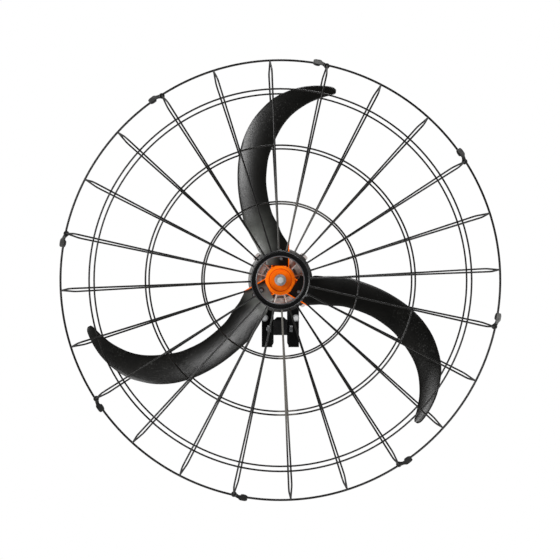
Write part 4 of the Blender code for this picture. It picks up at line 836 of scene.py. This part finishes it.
# CAD pieces that stay as they are, by their finish
KEPT = {
    BRIGHT_ZINC: [f"wall_screw_{number}" for number in range(1, 5)],
    DULL_ZINC: [f"wall_washer_{number}" for number in range(1, 5)],
    ZINC: ["capacitor_strap", "motor_shaft", "bearing_front", "bearing_rear",
           *(f"motor_screw_{number}" for number in range(1, 5)),
           *(f"tie_bolt_{number}" for number in range(1, 5))],
    RUBBERY: ["capacitor", "cable_gland"],
    CORE: ["stator_core", "rotor_core"],
    COPPER: ["winding_front", "winding_rear"],
    DARK_ZINC: ["tilt_nut", "tilt_washer_left", "tilt_bolt", "tilt_washer_right",
                *(f"blade_screw_{number}{letter}" for number in range(1, 4) for letter in "ab")],
}


# World, lamps and camera

def make_world():
    """Make the world: white for the camera, and a room that is darker in front of the fan than behind it."""
    world = bpy.data.worlds.new("studio")
    bpy.context.scene.world = world
    world.use_nodes = True
    tree = world.node_tree
    tree.nodes.clear()
    backdrop = tree.nodes.new("ShaderNodeBackground")
    backdrop.inputs["Strength"].default_value = 1.0
    room = tree.nodes.new("ShaderNodeBackground")
    for node in (backdrop, room):
        node.inputs["Color"].default_value = (1, 1, 1, 1)
    rays = tree.nodes.new("ShaderNodeLightPath").outputs
    split = tree.nodes.new("ShaderNodeSeparateXYZ")
    tree.links.new(tree.nodes.new("ShaderNodeTexCoord").outputs["Generated"], split.inputs["Vector"])
    level = tree.nodes.new("ShaderNodeMapRange")
    level.interpolation_type = "SMOOTHSTEP"
    level.inputs["From Min"].default_value = ROOM_TURN[0]
    level.inputs["From Max"].default_value = ROOM_TURN[1]
    tree.links.new(split.outputs["Y"], level.inputs["Value"])
    for socket, matt, gloss in (("To Min", FRONT_MATT, FRONT_GLOSS), ("To Max", BACK_MATT, BACK_GLOSS)):
        dimming = math_node(tree, "MULTIPLY", rays["Is Glossy Ray"], gloss - matt)
        tree.links.new(math_node(tree, "ADD", dimming, matt), level.inputs[socket])
    tree.links.new(level.outputs["Result"], room.inputs["Strength"])
    direct = math_node(tree, "MAXIMUM", rays["Is Camera Ray"], rays["Is Transmission Ray"])
    mix = tree.nodes.new("ShaderNodeMixShader")
    tree.links.new(direct, mix.inputs["Fac"])
    tree.links.new(room.outputs[0], mix.inputs[1])
    tree.links.new(backdrop.outputs[0], mix.inputs[2])
    tree.links.new(mix.outputs[0], tree.nodes.new("ShaderNodeOutputWorld").inputs["Surface"])


def make_softbox(name, around, off, across, along, level):
    """Make a soft lamp that the camera doesn't see, aimed at the middle of the fan."""
    around, off = math.radians(around), math.radians(off)
    outward = Vector((math.sin(off) * math.cos(around), -math.cos(off), math.sin(off) * math.sin(around)))
    side = Vector((-math.sin(around), 0, math.cos(around)))
    lamp = bpy.data.lights.new(name, "AREA")
    lamp.shape = "RECTANGLE"
    lamp.size = 2 * LAMP_REACH * math.tan(math.radians(across))
    lamp.size_y = 2 * LAMP_REACH * math.tan(math.radians(along))
    lamp.energy = level * math.pi * lamp.size * lamp.size_y
    thing = linked(name, lamp)
    turn = Matrix((side, outward.cross(side), outward)).transposed()
    thing.matrix_world = Matrix.Translation(LAMP_TARGET + outward * LAMP_REACH) @ turn.to_4x4()
    thing.visible_camera = False


def make_camera():
    """Make the camera."""
    camera = bpy.data.cameras.new("camera")
    camera.lens = CAMERA_LENS
    camera.sensor_width = CAMERA_SENSOR
    camera.clip_end = CAMERA_RANGE
    eye = linked("camera", camera)
    eye.location = (CAMERA_ASIDE, -RIM_STANDOFF - CAMERA_DISTANCE, CAMERA_UP)
    eye.rotation_euler = (math.radians(90), 0, 0)
    bpy.context.scene.camera = eye


make_guard()
make_badge()
for number, (arm, finish) in enumerate(zip(ARMS, BLADE_FINISHES), 1):
    make_blade(number, arm, finish)
for row in ROUNDED:
    softened(*row)
for number, tone in enumerate(CLIP_LIGHTING, 1):
    melt(softened(f"rim_clip_{number}", f"clip_{number}", CLIP_LIT_AND_SHADED[tone], "clip_plastic", CLIP_EDGE))
for finish, names in KEPT.items():
    for name in names:
        NODES[name].data.materials.clear()
        NODES[name].data.materials.append(finish)

make_world()
for lamp in LAMPS:
    make_softbox(*lamp)
make_camera()
bpy.context.scene.view_settings.view_transform = "Standard"
